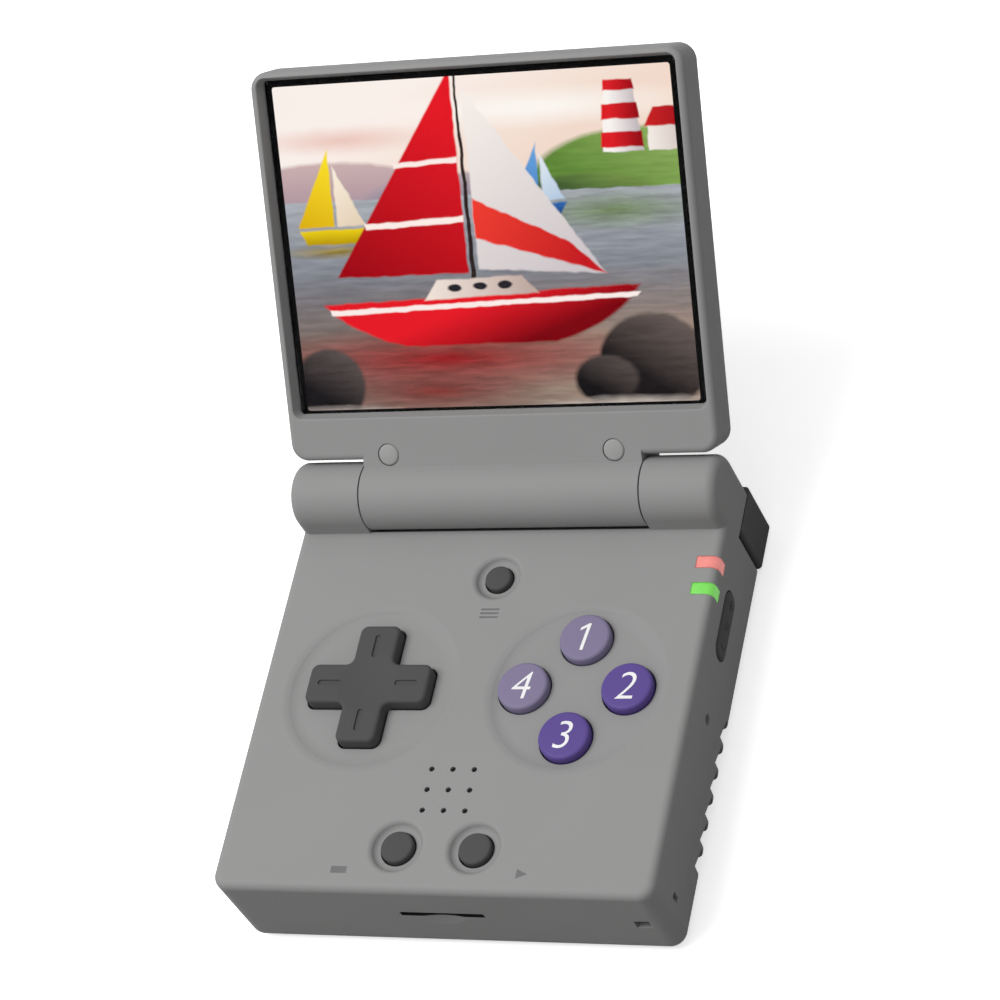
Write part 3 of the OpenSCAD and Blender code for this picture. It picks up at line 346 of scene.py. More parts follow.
def circuitBoard():
    # solder mask over copper tracks, with gold pads
    material, tree, shader = startMaterial("circuit_board")
    place = objectPlace(tree)
    bricks = {"Vector": place, "Scale": 420, "Mortar Size": 0.045, "Mortar Smooth": 0.3}
    tracks = addNode(tree, "ShaderNodeTexBrick", bricks, offset=0.5, squash=0.6)
    pads = addNode(tree, "ShaderNodeTexVoronoi", {"Vector": place, "Scale": 380})
    padMask = rangeNode(tree, pads.outputs["Distance"], 0.16, 0.13)
    masked = mixColour(tree, tracks.outputs["Fac"], (0.006, 0.055, 0.02, 1), (0.02, 0.13, 0.045, 1))
    feedNode(tree, shader, {
        "Base Color": mixColour(tree, padMask, masked, (0.6, 0.42, 0.12, 1)),
        "Metallic": mathNode(tree, "MULTIPLY", padMask, 0.9),
        "Roughness": rangeNode(tree, padMask, 0, 1, 0.42, 0.28),
        "Normal": bumpFrom(tree, tracks.outputs["Fac"], 0.4, 0.00003),
    })
    return material


def ribbonFilm():
    # amber film with copper lines under it
    material, tree, shader = startMaterial("ribbon_film")
    waves = {"Vector": objectPlace(tree), "Scale": 620, "Distortion": 0.2}
    tracks = addNode(tree, "ShaderNodeTexWave", waves, bands_direction="X").outputs["Fac"]
    copper = rangeNode(tree, tracks, 0.45, 0.55)
    feedNode(tree, shader, {
        "Base Color": mixColour(tree, copper, (0.34, 0.12, 0.015, 1), (0.6, 0.28, 0.05, 1)),
        "Roughness": rangeNode(tree, tracks, 0, 1, 0.25, 0.35),
        "Normal": bumpFrom(tree, tracks, 0.3, 0.00002),
    })
    return material


shadedRimWidth = 0.0004          # metres, width of the rim that is painted darker as shade


def litPipe(name, look):
    # clear coloured light guide, lit from below
    material, tree, shader = startMaterial(name)
    grain = placeGroup(tree, mouldedGrain, 0.3, 1.6).outputs
    wear = placeGroup(tree, edgeWearAndRimShade, shadedRimWidth, 1.0).outputs
    body = mixColour(tree, grain["Drift"], look["colour"], look["pale"])
    feedNode(tree, shader, {
        # the edge mask paints shade on the rim: darker colour and darker glow there
        "Base Color": mixColour(tree, wear["Mask"], body, look["rim"]),
        "Emission Color": mixColour(tree, wear["Mask"], look["glow"], look["rim"]),
        "Emission Strength": look["strength"],
        "Roughness": rangeNode(tree, grain["Fleck"], 0, 1, 0.2, 0.3),
        "Normal": bumpFrom(tree, grain["Height"], 0.15, 0.00002, wear["Soft Normal"]),
    })
    return material


pipes = {
    "light_red": {"colour": (0.42, 0.12, 0.11, 1), "pale": (0.5, 0.17, 0.15, 1),
                  "glow": (0.55, 0.16, 0.14, 1), "rim": (0.2, 0.03, 0.03, 1), "strength": 0.72},
    "light_green": {"colour": (0.09, 0.36, 0.04, 1), "pale": (0.13, 0.42, 0.06, 1),
                    "glow": (0.13, 0.5, 0.07, 1), "rim": (0.02, 0.14, 0.015, 1), "strength": 0.66},
    "led_resin": {"colour": (0.55, 0.5, 0.2, 1), "pale": (0.65, 0.6, 0.3, 1),
                  "glow": (0.9, 0.85, 0.5, 1), "rim": (0.6, 0.55, 0.3, 1), "strength": 0.4},
}

finishes = {name: mouldedPlastic(name, look) for name, look in plastics.items()}
finishes.update({name: litPipe(name, look) for name, look in pipes.items()})
finishes.update({name: plainFinish(name, look) for name, look in plainLooks.items()})
finishes.update({"circuit_board": circuitBoard(), "ribbon_film": ribbonFilm()})


def dressNodes():
    dressed = 0
    for node in nodes.values():
        for place in node.material_slots:
            slotName = place.material.name.split(".")[0]
            place.material = finishes[slotName]
            dressed += 1
    return dressed


# the imported materials have the slots' own names, so they step aside first
for material in list(bpy.data.materials):
    if material.name in finishes and material is not finishes[material.name]:
        material.name = material.name + ".plain"
print("finishes on CAD nodes:", dressNodes())


def insideLoop(point, loop):
    inside = False
    for (x0, y0), (x1, y1) in zip(loop, loop[1:] + loop[:1]):
        if (y0 > point[1]) != (y1 > point[1]):
            if point[0] < (x1 - x0) * (point[1] - y0) / (y1 - y0) + x0:
                inside = not inside
    return inside


def insideAny(point, loops):
    return any(insideLoop(point, loop) for loop in loops)


def fillLoops(outer, holes, seeds):
    # triangles between an outline and its holes, with extra points where the surface curves
    points = [Vector(p) for p in outer]
    edges = [(i, (i + 1) % len(outer)) for i in range(len(outer))]
    for hole in holes:
        first = len(points)
        points += [Vector(p) for p in hole]
        edges += [(first + i, first + (i + 1) % len(hole)) for i in range(len(hole))]
    points += [Vector(p) for p in seeds if insideLoop(p, outer) and not insideAny(p, holes)]
    flat, _, faces, _, _, _ = delaunay_2d_cdt(points, edges, [], 0, 1e-6)
    kept = []
    for face in faces:
        middle = sum((flat[i] for i in face), Vector((0, 0))) / len(face)
        if insideLoop(middle, outer) and not insideAny(middle, holes):
            kept.append(face)
    return [(p.x, p.y) for p in flat], kept


def ringLoop(centre, radius, count, turn=0.0):
    return [(centre[0] + radius * math.cos(turn + 2 * math.pi * i / count),
             centre[1] + radius * math.sin(turn + 2 * math.pi * i / count)) for i in range(count)]


def quarterArc(steps):
    # sine and cosine along a quarter turn
    angles = [math.pi / 2 * i / steps for i in range(steps + 1)]
    return [(math.sin(angle), math.cos(angle)) for angle in angles]


def bridgeRings(size, count):
    # quads between neighbouring rings of equal size
    quads = []
    for low in range(0, (count - 1) * size, size):
        for i in range(size):
            j = (i + 1) % size
            quads.append((low + i, low + j, low + size + j, low + size + i))
    return quads


def prism(outline, low, high):
    count = len(outline)
    points = [(x, y, low) for x, y in outline] + [(x, y, high) for x, y in outline]
    return points, [tuple(range(count)), tuple(range(count, 2 * count))] + bridgeRings(count, 2)


def joinPart(points, faces, part):
    partPoints, partFaces = part
    faces += [tuple(i + len(points) for i in face) for face in partFaces]
    points += partPoints


# direction pad, in millimetres
padMake = {
    "centre": (-14.6, -1.73),
    "span": 17.5,          # over two opposite arms
    "arm": 5.8,
    "top": 16.45,
    "edge": 0.5,
    "tip": 1.1,            # corner radius in plan at the arm's end
    "crook": 1.0,          # radius in the four inner corners
    "hollowRadius": 24.0,
    "hollowDepth": 0.4,
    "flange": (12.05, 12.75, 1.0),
    "socket": 1.5,         # over the pivot ball
    "slot": (3.9, 7.25, 0.78, 0.22),   # from, to, width, depth
    "slotLean": 0.07,      # how far the slot's wall runs inwards
    "mesh": 0.6,           # spacing of the points in the hollow
}


def turned(loop, quarters):
    c, s = round(math.cos(quarters * math.pi / 2)), round(math.sin(quarters * math.pi / 2))
    return [(x * c - y * s, x * s + y * c) for x, y in loop]


def crossLoop(make, inset, steps=6):
    # outline of the cross, moved inwards by inset; the corner points match from loop to loop
    half = make["span"] / 2 - inset
    arm = make["arm"] / 2 - inset
    tip = max(make["tip"] - inset, 0.12)
    crook = max(make["crook"] + inset, 0.1)
    arc = quarterArc(steps)
    quarter = [(half - tip + tip * c, arm - tip + tip * s) for s, c in arc]
    quarter += [(arm + crook - crook * s, arm + crook - crook * c) for s, c in arc]
    quarter += [(arm - tip + tip * c, half - tip + tip * s) for s, c in arc]
    loop = []
    for turn in range(4):
        for point in turned(quarter, turn):
            if not loop or math.dist(point, loop[-1]) > 1e-5:
                loop.append(point)
    if math.dist(loop[0], loop[-1]) < 1e-5:
        loop.pop()
    return loop


def buildDirectionPad(make):
    cx, cy = make["centre"]
    flangeLow, flangeHigh, lip = make["flange"]
    low = make["top"]

    def topHeight(x, y):
        reach = math.hypot(x, y)
        radius = make["hollowRadius"]
        dip = make["hollowDepth"] - (radius - math.sqrt(radius * radius - min(reach, radius) ** 2))
        return low - max(dip, 0.0)

    rings = [[(x, y, flangeLow) for x, y in crossLoop(make, -lip)],
             [(x, y, flangeHigh) for x, y in crossLoop(make, -lip)],
             [(x, y, flangeHigh) for x, y in crossLoop(make, 0)]]
    for s, c in quarterArc(8):
        drop = make["edge"] * (1 - s)
        loop = crossLoop(make, make["edge"] * (1 - c))
        rings.append([(x, y, topHeight(x, y) - drop) for x, y in loop])
    points = [point for ring in rings for point in ring]
    faces = bridgeRings(len(rings[0]), len(rings))

    # hollowed top with four engraved slots
    near, far, width, depth = make["slot"]
    slotLoop = []
    for middle, start in ((far - width / 2, -math.pi / 2), (near + width / 2, math.pi / 2)):
        angles = [start + math.pi * i / 8 for i in range(9)]
        slotLoop += [(middle + width / 2 * math.cos(a), width / 2 * math.sin(a)) for a in angles]
    slots = [turned(slotLoop, turn) for turn in range(4)]
    inner = [(x, y) for x, y, _ in rings[-1]]
    cells = range(-14, 15)
    seeds = [(x * make["mesh"], y * make["mesh"]) for x in cells for y in cells]
    flat, kept = fillLoops(inner, slots, seeds)
    joinPart(points, faces, ([(x, y, topHeight(x, y)) for x, y in flat], kept))
    for slot in slots:
        middle = sum((Vector(p) for p in slot), Vector((0, 0))) / len(slot)
        floor = [Vector(p) + (middle - Vector(p)).normalized() * make["slotLean"] for p in slot]
        ledge = [(x, y, topHeight(x, y)) for x, y in slot]
        ledge += [(x, y, topHeight(x, y) - depth) for x, y in floor]
        size = len(slot)
        joinPart(points, faces, (ledge, bridgeRings(size, 2) + [tuple(range(size, 2 * size))]))

    # underside with the ball socket
    socket = make["socket"]
    edge = [(x, y) for x, y, _ in rings[0]]
    socketRing = ringLoop((0, 0), socket, 32)
    seeds = [(0.0, 0.0)]
    for share in (0.3, 0.6, 0.82, 0.94):
        seeds += ringLoop((0, 0), socket * share, 16, share)
    flat, kept = fillLoops(edge, [], socketRing + seeds)
    underside = []
    for x, y in flat:
        reach = math.hypot(x, y)
        rise = math.sqrt(socket * socket - reach * reach) if reach < socket - 1e-6 else 0.0
        underside.append((x, y, flangeLow + rise))
    joinPart(points, faces, (underside, kept))

    points = [(x + cx, y + cy, z) for x, y, z in points]
    piece = makeObject("directionPadCap", points, faces, "pad", "dark_keys")
    smoothShade(piece, 30)
    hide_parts("direction_pad")


buildDirectionPad(padMake)
print("direction pad built")


def latheFaces(profile, centre, segments):
    # closed turned form; the profile runs from the axis on top to the axis below
    points, faces, rows = [], [], []
    cx, cy = centre
    for radius, z in profile:
        if radius < 1e-6:
            rows.append([len(points)])
            points.append((cx, cy, z))
        else:
            rows.append(list(range(len(points), len(points) + segments)))
            points += [(x, y, z) for x, y in ringLoop(centre, radius, segments)]
    for upper, lower in zip(rows, rows[1:]):
        for i in range(segments):
            j = (i + 1) % segments
            if len(upper) == 1:
                faces.append((upper[0], lower[i], lower[j]))
            elif len(lower) == 1:
                faces.append((upper[i], lower[0], upper[j]))
            else:
                faces.append((upper[i], lower[i], lower[j], upper[j]))
    return points, faces


def domedProfile(make, shares):
    # from the axis over a low crown and a rolled edge down to the side
    radius, top, edge, crown = make["radius"], make["top"], make["edge"], make["crown"]
    profile = [(0.0, top)]
    profile += [((radius - edge) * share, top - crown * share * share) for share in shares]
    profile += [(radius - edge + edge * s, top - crown - edge * (1 - c)) for s, c in quarterArc(8)]
    return profile


def capProfile(make):
    radius, foot = make["radius"], 0.12      # foot is the small ramp above the flange
    low, high, lip = make["flange"]
    profile = domedProfile(make, (0.25, 0.5, 0.75)) + [(radius, high + foot), (radius + foot, high)]
    return profile + [(radius + lip, high), (radius + lip, low), (0.0, low)]


capMake = {"radius": 3.5, "top": 15.95, "edge": 0.45, "crown": 0.07, "flange": (12.85, 13.55, 0.8)}
groupCentre = (14.6, -1.73)
groupRing = 7.25
caps = [
    ("face_button_top", "top_button", 90, "lilac_keys", "1"),
    ("face_button_right", "right_button", 0, "purple_keys", "2"),
    ("face_button_bottom", "bottom_button", 270, "purple_keys", "3"),
    ("face_button_left", "left_button", 180, "lilac_keys", "4"),
]
numberMake = {"height": 3.95, "weight": -0.01, "slant": 0.14, "proud": 0.03, "sunk": 0.06,
              "longest": 0.7}      # longer edges are halved, so that the print follows the crown
oneOutline = [(0.19, 0.0), (0.3, 0.0), (0.3, 1.0), (0.215, 1.0),
              (-0.02, 0.84), (-0.02, 0.73), (0.19, 0.86)]


def digitShape(name, digit, make):
    # flat outline of one numeral, from the built-in font; the 1 gets a flag of its own
    shape = bmesh.new()
    if digit == "1":
        corners = [shape.verts.new((x + y * make["slant"], y, 0)) for x, y in oneOutline]
        shape.faces.new(corners)
        return shape
    curve = bpy.data.curves.new(name, "FONT")
    curve.body = digit
    curve.size = 1.0
    curve.shear = make["slant"]
    curve.offset = make["weight"]
    writer = bpy.data.objects.new(name + ".curve", curve)
    scene.collection.objects.link(writer)
    bpy.context.view_layer.update()
    graph = bpy.context.evaluated_depsgraph_get()
    flat = bpy.data.meshes.new_from_object(writer.evaluated_get(graph))
    bpy.data.objects.remove(writer)
    shape.from_mesh(flat)
    bpy.data.meshes.remove(flat)
    return shape


def buildNumber(name, digit, centre, surface, make, material, body, slot):
    shape = digitShape(name, digit, make)
    bmesh.ops.remove_doubles(shape, verts=shape.verts, dist=1e-5)
    xs = [v.co.x for v in shape.verts]
    ys = [v.co.y for v in shape.verts]
    size = make["height"] / (max(ys) - min(ys))
    middle = ((max(xs) + min(xs)) / 2, (max(ys) + min(ys)) / 2)
    for v in shape.verts:
        v.co = Vector(((v.co.x - middle[0]) * size, (v.co.y - middle[1]) * size, 0))
    bmesh.ops.triangulate(shape, faces=shape.faces)
    for _ in range(2):
        longEdges = [e for e in shape.edges if e.calc_length() > make["longest"]]
        if longEdges:
            bmesh.ops.subdivide_edges(shape, edges=longEdges, cuts=1)
            bmesh.ops.triangulate(shape, faces=shape.faces)
    lower = bmesh.ops.extrude_face_region(shape, geom=shape.faces[:])
    sunk = [v for v in lower["geom"] if isinstance(v, bmesh.types.BMVert)]
    for v in sunk:
        v.co.z = -1
    for v in shape.verts:
        v.co.z = surface(v.co.x, v.co.y) + (-make["sunk"] if v.co.z < 0 else make["proud"])
        v.co.x += centre[0]
        v.co.y += centre[1]

    # the mesh tools leave points and faces in any order, so they are sorted
    ordered = sorted(shape.verts, key=lambda v: tuple(v.co))
    rank = {v: i for i, v in enumerate(ordered)}
    points = [tuple(v.co) for v in ordered]
    faces = []
    for f in shape.faces:
        face = [rank[v] for v in f.verts]
        first = face.index(min(face))
        faces.append(tuple(face[first:] + face[:first]))
    shape.free()
    makeObject(name, points, sorted(faces), body, slot, material=material)


def buildFaceButtons():
    white = plainFinish("printWhite", printLooks["printWhite"])

    def capHeight(x, y):
        share = math.hypot(x, y) / (capMake["radius"] - capMake["edge"])
        return capMake["top"] - capMake["crown"] * min(share, 1.0) ** 2

    for node, body, turn, slot, digit in caps:
        centre = (groupCentre[0] + groupRing * math.cos(math.radians(turn)),
                  groupCentre[1] + groupRing * math.sin(math.radians(turn)))
        points, faces = latheFaces(capProfile(capMake), centre, 96)
        cap = makeObject(body + "Cap", points, faces, body, slot)
        smoothShade(cap)
        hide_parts(node)
        buildNumber(body + "Number", digit, centre, capHeight, numberMake, white, body, slot)


buildFaceButtons()
print("face buttons built:", len(caps))

smallCaps = [
    ("menu_button", "menu", (0.0, 15.1), 1.85),
    ("select_button", "select", (-5.45, -25.05), 2.25),
    ("start_button", "start", (5.45, -25.05), 2.25),
]
smallMake = {"top": 15.15, "edge": 0.35, "crown": 0.05, "flange": (12.1, 12.8, 0.7)}


def buildSmallButtons():
    for node, body, centre, radius in smallCaps:
        points, faces = latheFaces(capProfile(dict(smallMake, radius=radius)), centre, 80)
        cap = makeObject(body + "Cap", points, faces, body, "dark_keys")
        smoothShade(cap)
        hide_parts(node)


buildSmallButtons()
print("small buttons built:", len(smallCaps))


# volume rocker on the right side
rockerMake = {
    "place": (11.15, 8.9),     # along Y and Z
    "size": (9.8, 3.5, 1.65),  # width, height, end radius
    "face": 31.03,
    "markFace": 31.1,
    "markFoot": 30.93,
    "edge": 0.4,
    "flange": (11.8, 4.1, 1.0),
    "flangeFrom": 28.3,
    "flangeTo": 28.9,
    "bars": ((-3.1, 0.28, 1.3), (3.1, 0.28, 1.3), (3.1, 1.3, 0.28)),   # place, width, height
    "ring": (0.62, 0.38),
}


def roundedLoop(width, height, radius, inset=0.0, count=9):
    half, up, turn = width / 2 - inset, height / 2 - inset, max(radius - inset, 0.05)
    loop = []
    for quarter, (sx, sy) in enumerate(((1, 1), (-1, 1), (-1, -1), (1, -1))):
        for i in range(count):
            angle = math.pi / 2 * (quarter + i / (count - 1))
            loop.append((sx * (half - turn) + turn * math.cos(angle),
                         sy * (up - turn) + turn * math.sin(angle)))
    return loop


def buildRocker(make):
    y0, z0 = make["place"]
    flange, high = roundedLoop(*make["flange"]), make["flangeTo"]
    rings = [(flange, make["flangeFrom"]), (flange, high), (roundedLoop(*make["size"]), high)]
    for s, c in quarterArc(6):
        loop = roundedLoop(*make["size"], make["edge"] * (1 - c))
        rings.append((loop, make["face"] - make["edge"] * (1 - s)))
    points = [(x, y0 + a, z0 + b) for loop, x in rings for a, b in loop]
    size = len(rings[0][0])
    faces = bridgeRings(size, len(rings))
    faces += [tuple(range(size)), tuple(range((len(rings) - 1) * size, len(rings) * size))]
    piece = makeObject("volumeRocker", points, faces, "volume", "dark_keys")
    smoothShade(piece, 50)
    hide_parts("volume_rocker")

    # raised marks: a bar, a ring over the pivot and a cross
    foot, face = make["markFoot"], make["markFace"]
    points, faces = [], []
    for a, w, h in make["bars"]:
        outline = [(a - w / 2, -h / 2), (a + w / 2, -h / 2), (a + w / 2, h / 2), (a - w / 2, h / 2)]
        joinPart(points, faces, prism(outline, foot, face))
    ring = [(radius * math.cos(math.pi * i / 6), radius * math.sin(math.pi * i / 6))
            for radius in make["ring"] for i in range(12)]
    loops = [(a, b, level) for level in (foot, face) for a, b in ring]
    quads = []
    for i in range(12):
        j = (i + 1) % 12
        for first, second in ((0, 24), (24, 36), (36, 12), (12, 0)):
            quads.append((first + i, first + j, second + j, second + i))
    joinPart(points, faces, (loops, quads))
    points = [(x, y0 + a, z0 + b) for a, b, x in points]
    makeObject("volumeMarks", points, faces, "volume", "dark_keys")


# plain marks beside the small buttons
markMake = {
    "proud": 0.02,
    "sunk": 0.05,
    "bars": [(-1.3, 10.15), (-1.3, 9.55), (-1.3, 8.95)],     # left end and middle
    "barSize": (2.6, 0.26),
    "block": [(-13.9, -29.05), (-11.7, -29.05), (-11.7, -28.1), (-13.9, -28.1)],
    "arrow": [(12.0, -29.25), (13.5, -28.58), (12.0, -27.9)],
}


def buildMarks(make):
    dark = plainFinish("printDark", printLooks["printDark"])
    w, h = make["barSize"]
    shapes = [[(x, y - h / 2), (x + w, y - h / 2), (x + w, y + h / 2), (x, y + h / 2)]
              for x, y in make["bars"]]
    low, high = deckHeight - make["sunk"], deckHeight + make["proud"]
    points, faces = [], []
    for outline in shapes + [make["block"], make["arrow"]]:
        joinPart(points, faces, prism(outline, low, high))
    makeObject("deckMarks", points, faces, "base", "case_plastic", material=dark)


buildMarks(markMake)
buildRocker(rockerMake)
print("deck marks and volume rocker built")


# black plugs in the speaker holes and black walls in the card slot, both painted shade
speakerMake = {"centre": (0.0, -16.8), "pitch": 3.0, "radius": 0.375, "top": 14.82, "low": 14.4}
slotMake = {"half": 5.88, "low": 8.17, "high": 9.23, "front": -31.44, "back": -30.05, "wall": 0.07}
scoopMake = {"face": -31.5, "half": 3.4, "depth": 0.35, "rise": 1.45, "gap": 0.03}


def buildSpeakerHoleShade(make):
    points, faces = [], []
    radius, top, pitch = make["radius"], make["top"], make["pitch"]
    x, y = make["centre"]
    # the plugs are black so that each hole reads dark: painted shade inside the holes
    profile = [(0.0, top), (radius * 0.6, top - 0.02), (radius * 0.92, top - 0.07),
               (radius, top - 0.14), (radius, make["low"]), (0.0, make["low"])]
    for column in (-1, 0, 1):
        for row in (-1, 0, 1):
            centre = (x + column * pitch, y + row * pitch)
            joinPart(points, faces, latheFaces(profile, centre, 24))
    holeShade = makeObject("speakerHoleShade", points, faces, "base", "black_plastic")
    smoothShade(holeShade)


def buildSlotShadeWalls(make, scoop):
    # four black walls that paint the shade inside the slot; the lower one starts behind the thumb
    # scoop
    half, low, high, wall = make["half"], make["low"], make["high"], make["wall"]
    front, back = make["front"], make["back"]
    sphere = (scoop["half"] ** 2 + scoop["depth"] ** 2) / (2 * scoop["depth"])
    reach = math.sqrt(sphere ** 2 - scoop["rise"] ** 2)
    lip = []
    for i in range(25):
        x = -half + 2 * half * i / 24
        edge = scoop["face"] - sphere + scoop["depth"] + math.sqrt(reach ** 2 - x ** 2)
        lip.append((x, max(front, edge + scoop["gap"])))
    points, faces = prism(lip + [(half, back), (-half, back)], low, low + wall)
    inner, floor, roof = half - wall, low + wall, high - wall
    walls = ((-half, half, roof, high), (-half, -inner, floor, roof), (inner, half, floor, roof))
    for left, right, z0, z1 in walls:
        outline = [(left, front), (right, front), (right, back), (left, back)]
        joinPart(points, faces, prism(outline, z0, z1))
    makeObject("slotShadeWalls", points, faces, "base", "black_plastic")


buildSpeakerHoleShade(speakerMake)
buildSlotShadeWalls(slotMake, scoopMake)
print("speaker cloth and slot liner built")


# lit picture under the cover lens
pictureMake = {"width": 56.9, "height": 44.15, "start": 11.95, "level": -0.06, "thick": 0.05,
               "glow": 1.0, "ground": (243, 219, 204),
               "soft": 0.15}      # usual half width of a painted edge
lidPlace = (Matrix.Translation((0, hingeY * mm, hingeZ * mm))
            @ Matrix.Rotation(math.radians(lidTilt), 4, "X"))

# a bay with boats, painted from the back forwards; millimetres from the middle of the lower edge
sky = [
    {"corners": [(-40, 27), (40, 27), (40, 60), (-40, 60)], "soft": 0.5,
     "colour": (243, 219, 204), "second": (250, 240, 234), "along": ((0, 29), (-8, 44))},
    {"oval": (8, 39.5, 15, 1.7), "soft": 1.2, "colour": (252, 246, 240)},
    {"oval": (-19, 36.5, 8, 1.1), "soft": 1.0, "colour": (236, 200, 190)},
]
land = [
    {"oval": (-22, 28.2, 17, 5.4), "soft": 0.3,
     "colour": (176, 150, 160), "second": (205, 178, 176), "along": ((0, 28), (0, 34))},
    {"oval": (-3, 28.2, 13, 3.2), "soft": 0.3,
     "colour": (150, 140, 156), "second": (186, 168, 172), "along": ((0, 28), (0, 32))},
    {"oval": (23, 28.6, 16, 7.6), "soft": 0.35, "colour": (98, 138, 58), "second": (140, 172, 92),
     "along": ((18, 28), (24, 37)), "streak": 0.35},
    {"oval": (15.5, 28.2, 9, 2.3), "soft": 0.3, "colour": (70, 96, 52), "second": (112, 140, 70),
     "along": ((15, 28), (16, 31)), "streak": 0.3},
]


def redBand(corners):
    return {"corners": corners, "soft": 0.12,
            "colour": (222, 30, 38), "second": (150, 12, 22), "along": ((19.5, 0), (23.4, 0))}


tower = [
    {"corners": [(18.1, 33), (23.9, 33), (22.9, 42.2), (19.1, 42.2)], "soft": 0.12,
     "colour": (250, 244, 240), "second": (196, 186, 190), "along": ((19.5, 0), (23.2, 0))},
    redBand([(17.9, 33.6), (24, 33.6), (23.8, 35.6), (18.2, 35.6)]),
    redBand([(18.35, 37.3), (23.65, 37.3), (23.4, 39.3), (18.6, 39.3)]),
    redBand([(18.8, 41), (23.2, 41), (23, 42.4), (19, 42.4)]),
    {"corners": [(24.6, 33), (29.5, 33), (29.5, 36.2), (24.6, 36.2)], "soft": 0.12,
     "colour": (248, 240, 232), "second": (214, 200, 196), "along": ((24, 0), (29, 0))},
    {"corners": [(24.1, 36.1), (30, 36.1), (28.4, 38.6), (25.6, 38.6)], "soft": 0.12,
     "colour": (206, 34, 36), "second": (168, 20, 28), "along": ((24, 0), (29, 0))},
]
water = [
    {"corners": [(-40, -9), (40, -9), (40, 28.4), (-40, 28.4)], "soft": 0.12, "streak": 0.5,
     "colour": (168, 172, 180), "second": (118, 122, 132), "along": ((0, 28), (0, 15))},
    {"corners": [(-40, -9), (40, -9), (40, 14), (-40, 14)], "soft": 5.0, "streak": 0.55,
     "colour": (128, 112, 104), "second": (158, 136, 122), "along": ((-20, 8), (24, 0))},
    {"oval": (19, 25.5, 8, 1.6), "soft": 1.4, "colour": (120, 140, 104), "streak": 0.9},
    {"oval": (-7, 6.6, 17, 2.6), "soft": 2.4, "colour": (150, 34, 38), "streak": 0.8},
    {"oval": (-9, 2.2, 9, 1.8), "soft": 1.6, "colour": (128, 58, 54), "streak": 0.9},
]
farBoats = [
    {"corners": [(-25.8, 22.6), (-18.2, 22.6), (-17, 24.6), (-26.6, 24.6)],
     "colour": (236, 206, 22), "second": (180, 146, 10), "along": ((-22, 24.6), (-22, 22.6))},
    {"corners": [(-21.4, 25), (-21.4, 35.4), (-26.8, 25)], "oval": (-16.8, 24.6, 9.9, 14),
     "colour": (250, 222, 40), "second": (222, 176, 16), "along": ((-22, 34), (-26, 25))},
    {"corners": [(-20.9, 33.2), (-20.9, 25), (-16.8, 25)],
     "colour": (250, 240, 222), "second": (228, 206, 180), "along": ((-21, 33), (-17, 25))},
    {"oval": (-21.5, 21.6, 5, 0.6), "soft": 0.5, "colour": (150, 130, 60), "streak": 0.9},
    {"corners": [(5.4, 25.2), (11.4, 25.2), (12.4, 26.8), (4.6, 26.8)],
     "colour": (48, 104, 176), "second": (30, 66, 124), "along": ((8, 26.8), (8, 25.2))},
    {"corners": [(8.7, 27.2), (8.7, 34.6), (4.8, 27.2)],
     "colour": (104, 162, 220), "second": (64, 120, 190), "along": ((8, 34), (5, 27))},
    {"corners": [(9.1, 33.4), (9.1, 27.2), (12.2, 27.2)],
     "colour": (228, 236, 244), "second": (176, 198, 222), "along": ((9, 33), (12, 27))},
]
redBoat = [
    {"corners": [(-2.3, 14.6), (-1.7, 14.6), (-1.9, 41.4), (-2.15, 41.4)], "soft": 0.1,
     "colour": (46, 34, 34)},
    {"corners": [(-2.6, 16.4), (-2.6, 40.2), (-19.5, 16.4)], "oval": (5.5, 13.5, 25.5, 31),
     "colour": (228, 24, 36), "second": (158, 8, 20), "along": ((-2, 34), (-15, 15))},
    {"corners": [(-2.6, 22.4), (-2.6, 23.1), (-15.4, 22.6), (-15.2, 21.9)], "soft": 0.12,
     "colour": (252, 236, 230)},
    {"corners": [(-2.6, 29.4), (-2.6, 30), (-10.9, 29.6), (-10.7, 29)], "soft": 0.12,
     "colour": (252, 236, 230)},
    {"corners": [(-1.3, 38.2), (-1.3, 16.8), (14.6, 15.8)], "oval": (-12, 12, 27, 28),
     "colour": (246, 238, 232), "second": (204, 196, 200), "along": ((-1, 36), (11, 16))},
    {"corners": [(-1.3, 25), (-1.3, 20.4), (14.6, 15.8), (10.4, 19.6)], "oval": (-12, 12, 27, 28),
     "colour": (238, 60, 48), "second": (196, 26, 32), "along": ((-1, 24), (11, 16))},
    {"corners": [(-18.6, 8), (13.5, 8), (19.4, 14.4), (-21.6, 13.2)],
     "oval": (-2, 17.5, 21.5, 10.6), "soft": 0.18,
     "colour": (230, 26, 38), "second": (124, 6, 16), "along": ((0, 13.5), (2, 7.6))},
    {"corners": [(-20.8, 11.9), (18, 12.9), (18.6, 13.5), (-21, 12.5)], "soft": 0.12,
     "colour": (250, 236, 232)},
    {"corners": [(-8.5, 13.4), (6, 13.8), (4, 15.9), (-6.8, 15.7)],
     "colour": (240, 226, 216), "second": (190, 168, 160), "along": ((-8, 0), (5, 0))},
]
redBoat += [{"oval": (x, y, 0.9, 0.45), "soft": 0.1, "colour": (40, 38, 44)}
            for x, y in ((-4.6, 14.7), (-1.4, 14.8), (1.8, 14.9))]
rocks = [
    {"oval": (22.5, 5.4, 7.6, 6.4), "soft": 0.3, "colour": (30, 26, 28), "second": (104, 92, 88),
     "along": ((20, 4), (25, 12)), "streak": 0.5},
    {"oval": (15.6, 3.2, 4.4, 3.2), "soft": 0.3, "colour": (24, 22, 24), "second": (88, 78, 76),
     "along": ((14, 2), (17, 7)), "streak": 0.5},
    {"oval": (-24.6, 3.4, 5.2, 5), "soft": 0.3, "colour": (28, 25, 28), "second": (96, 86, 84),
     "along": ((-26, 2), (-22, 9)), "streak": 0.5},
    {"oval": (19, -0.6, 11, 1.2), "soft": 0.6, "colour": (196, 184, 176), "streak": 0.9},
    {"oval": (-23.5, -0.9, 8, 1.1), "soft": 0.6, "colour": (190, 178, 172), "streak": 0.9},
]


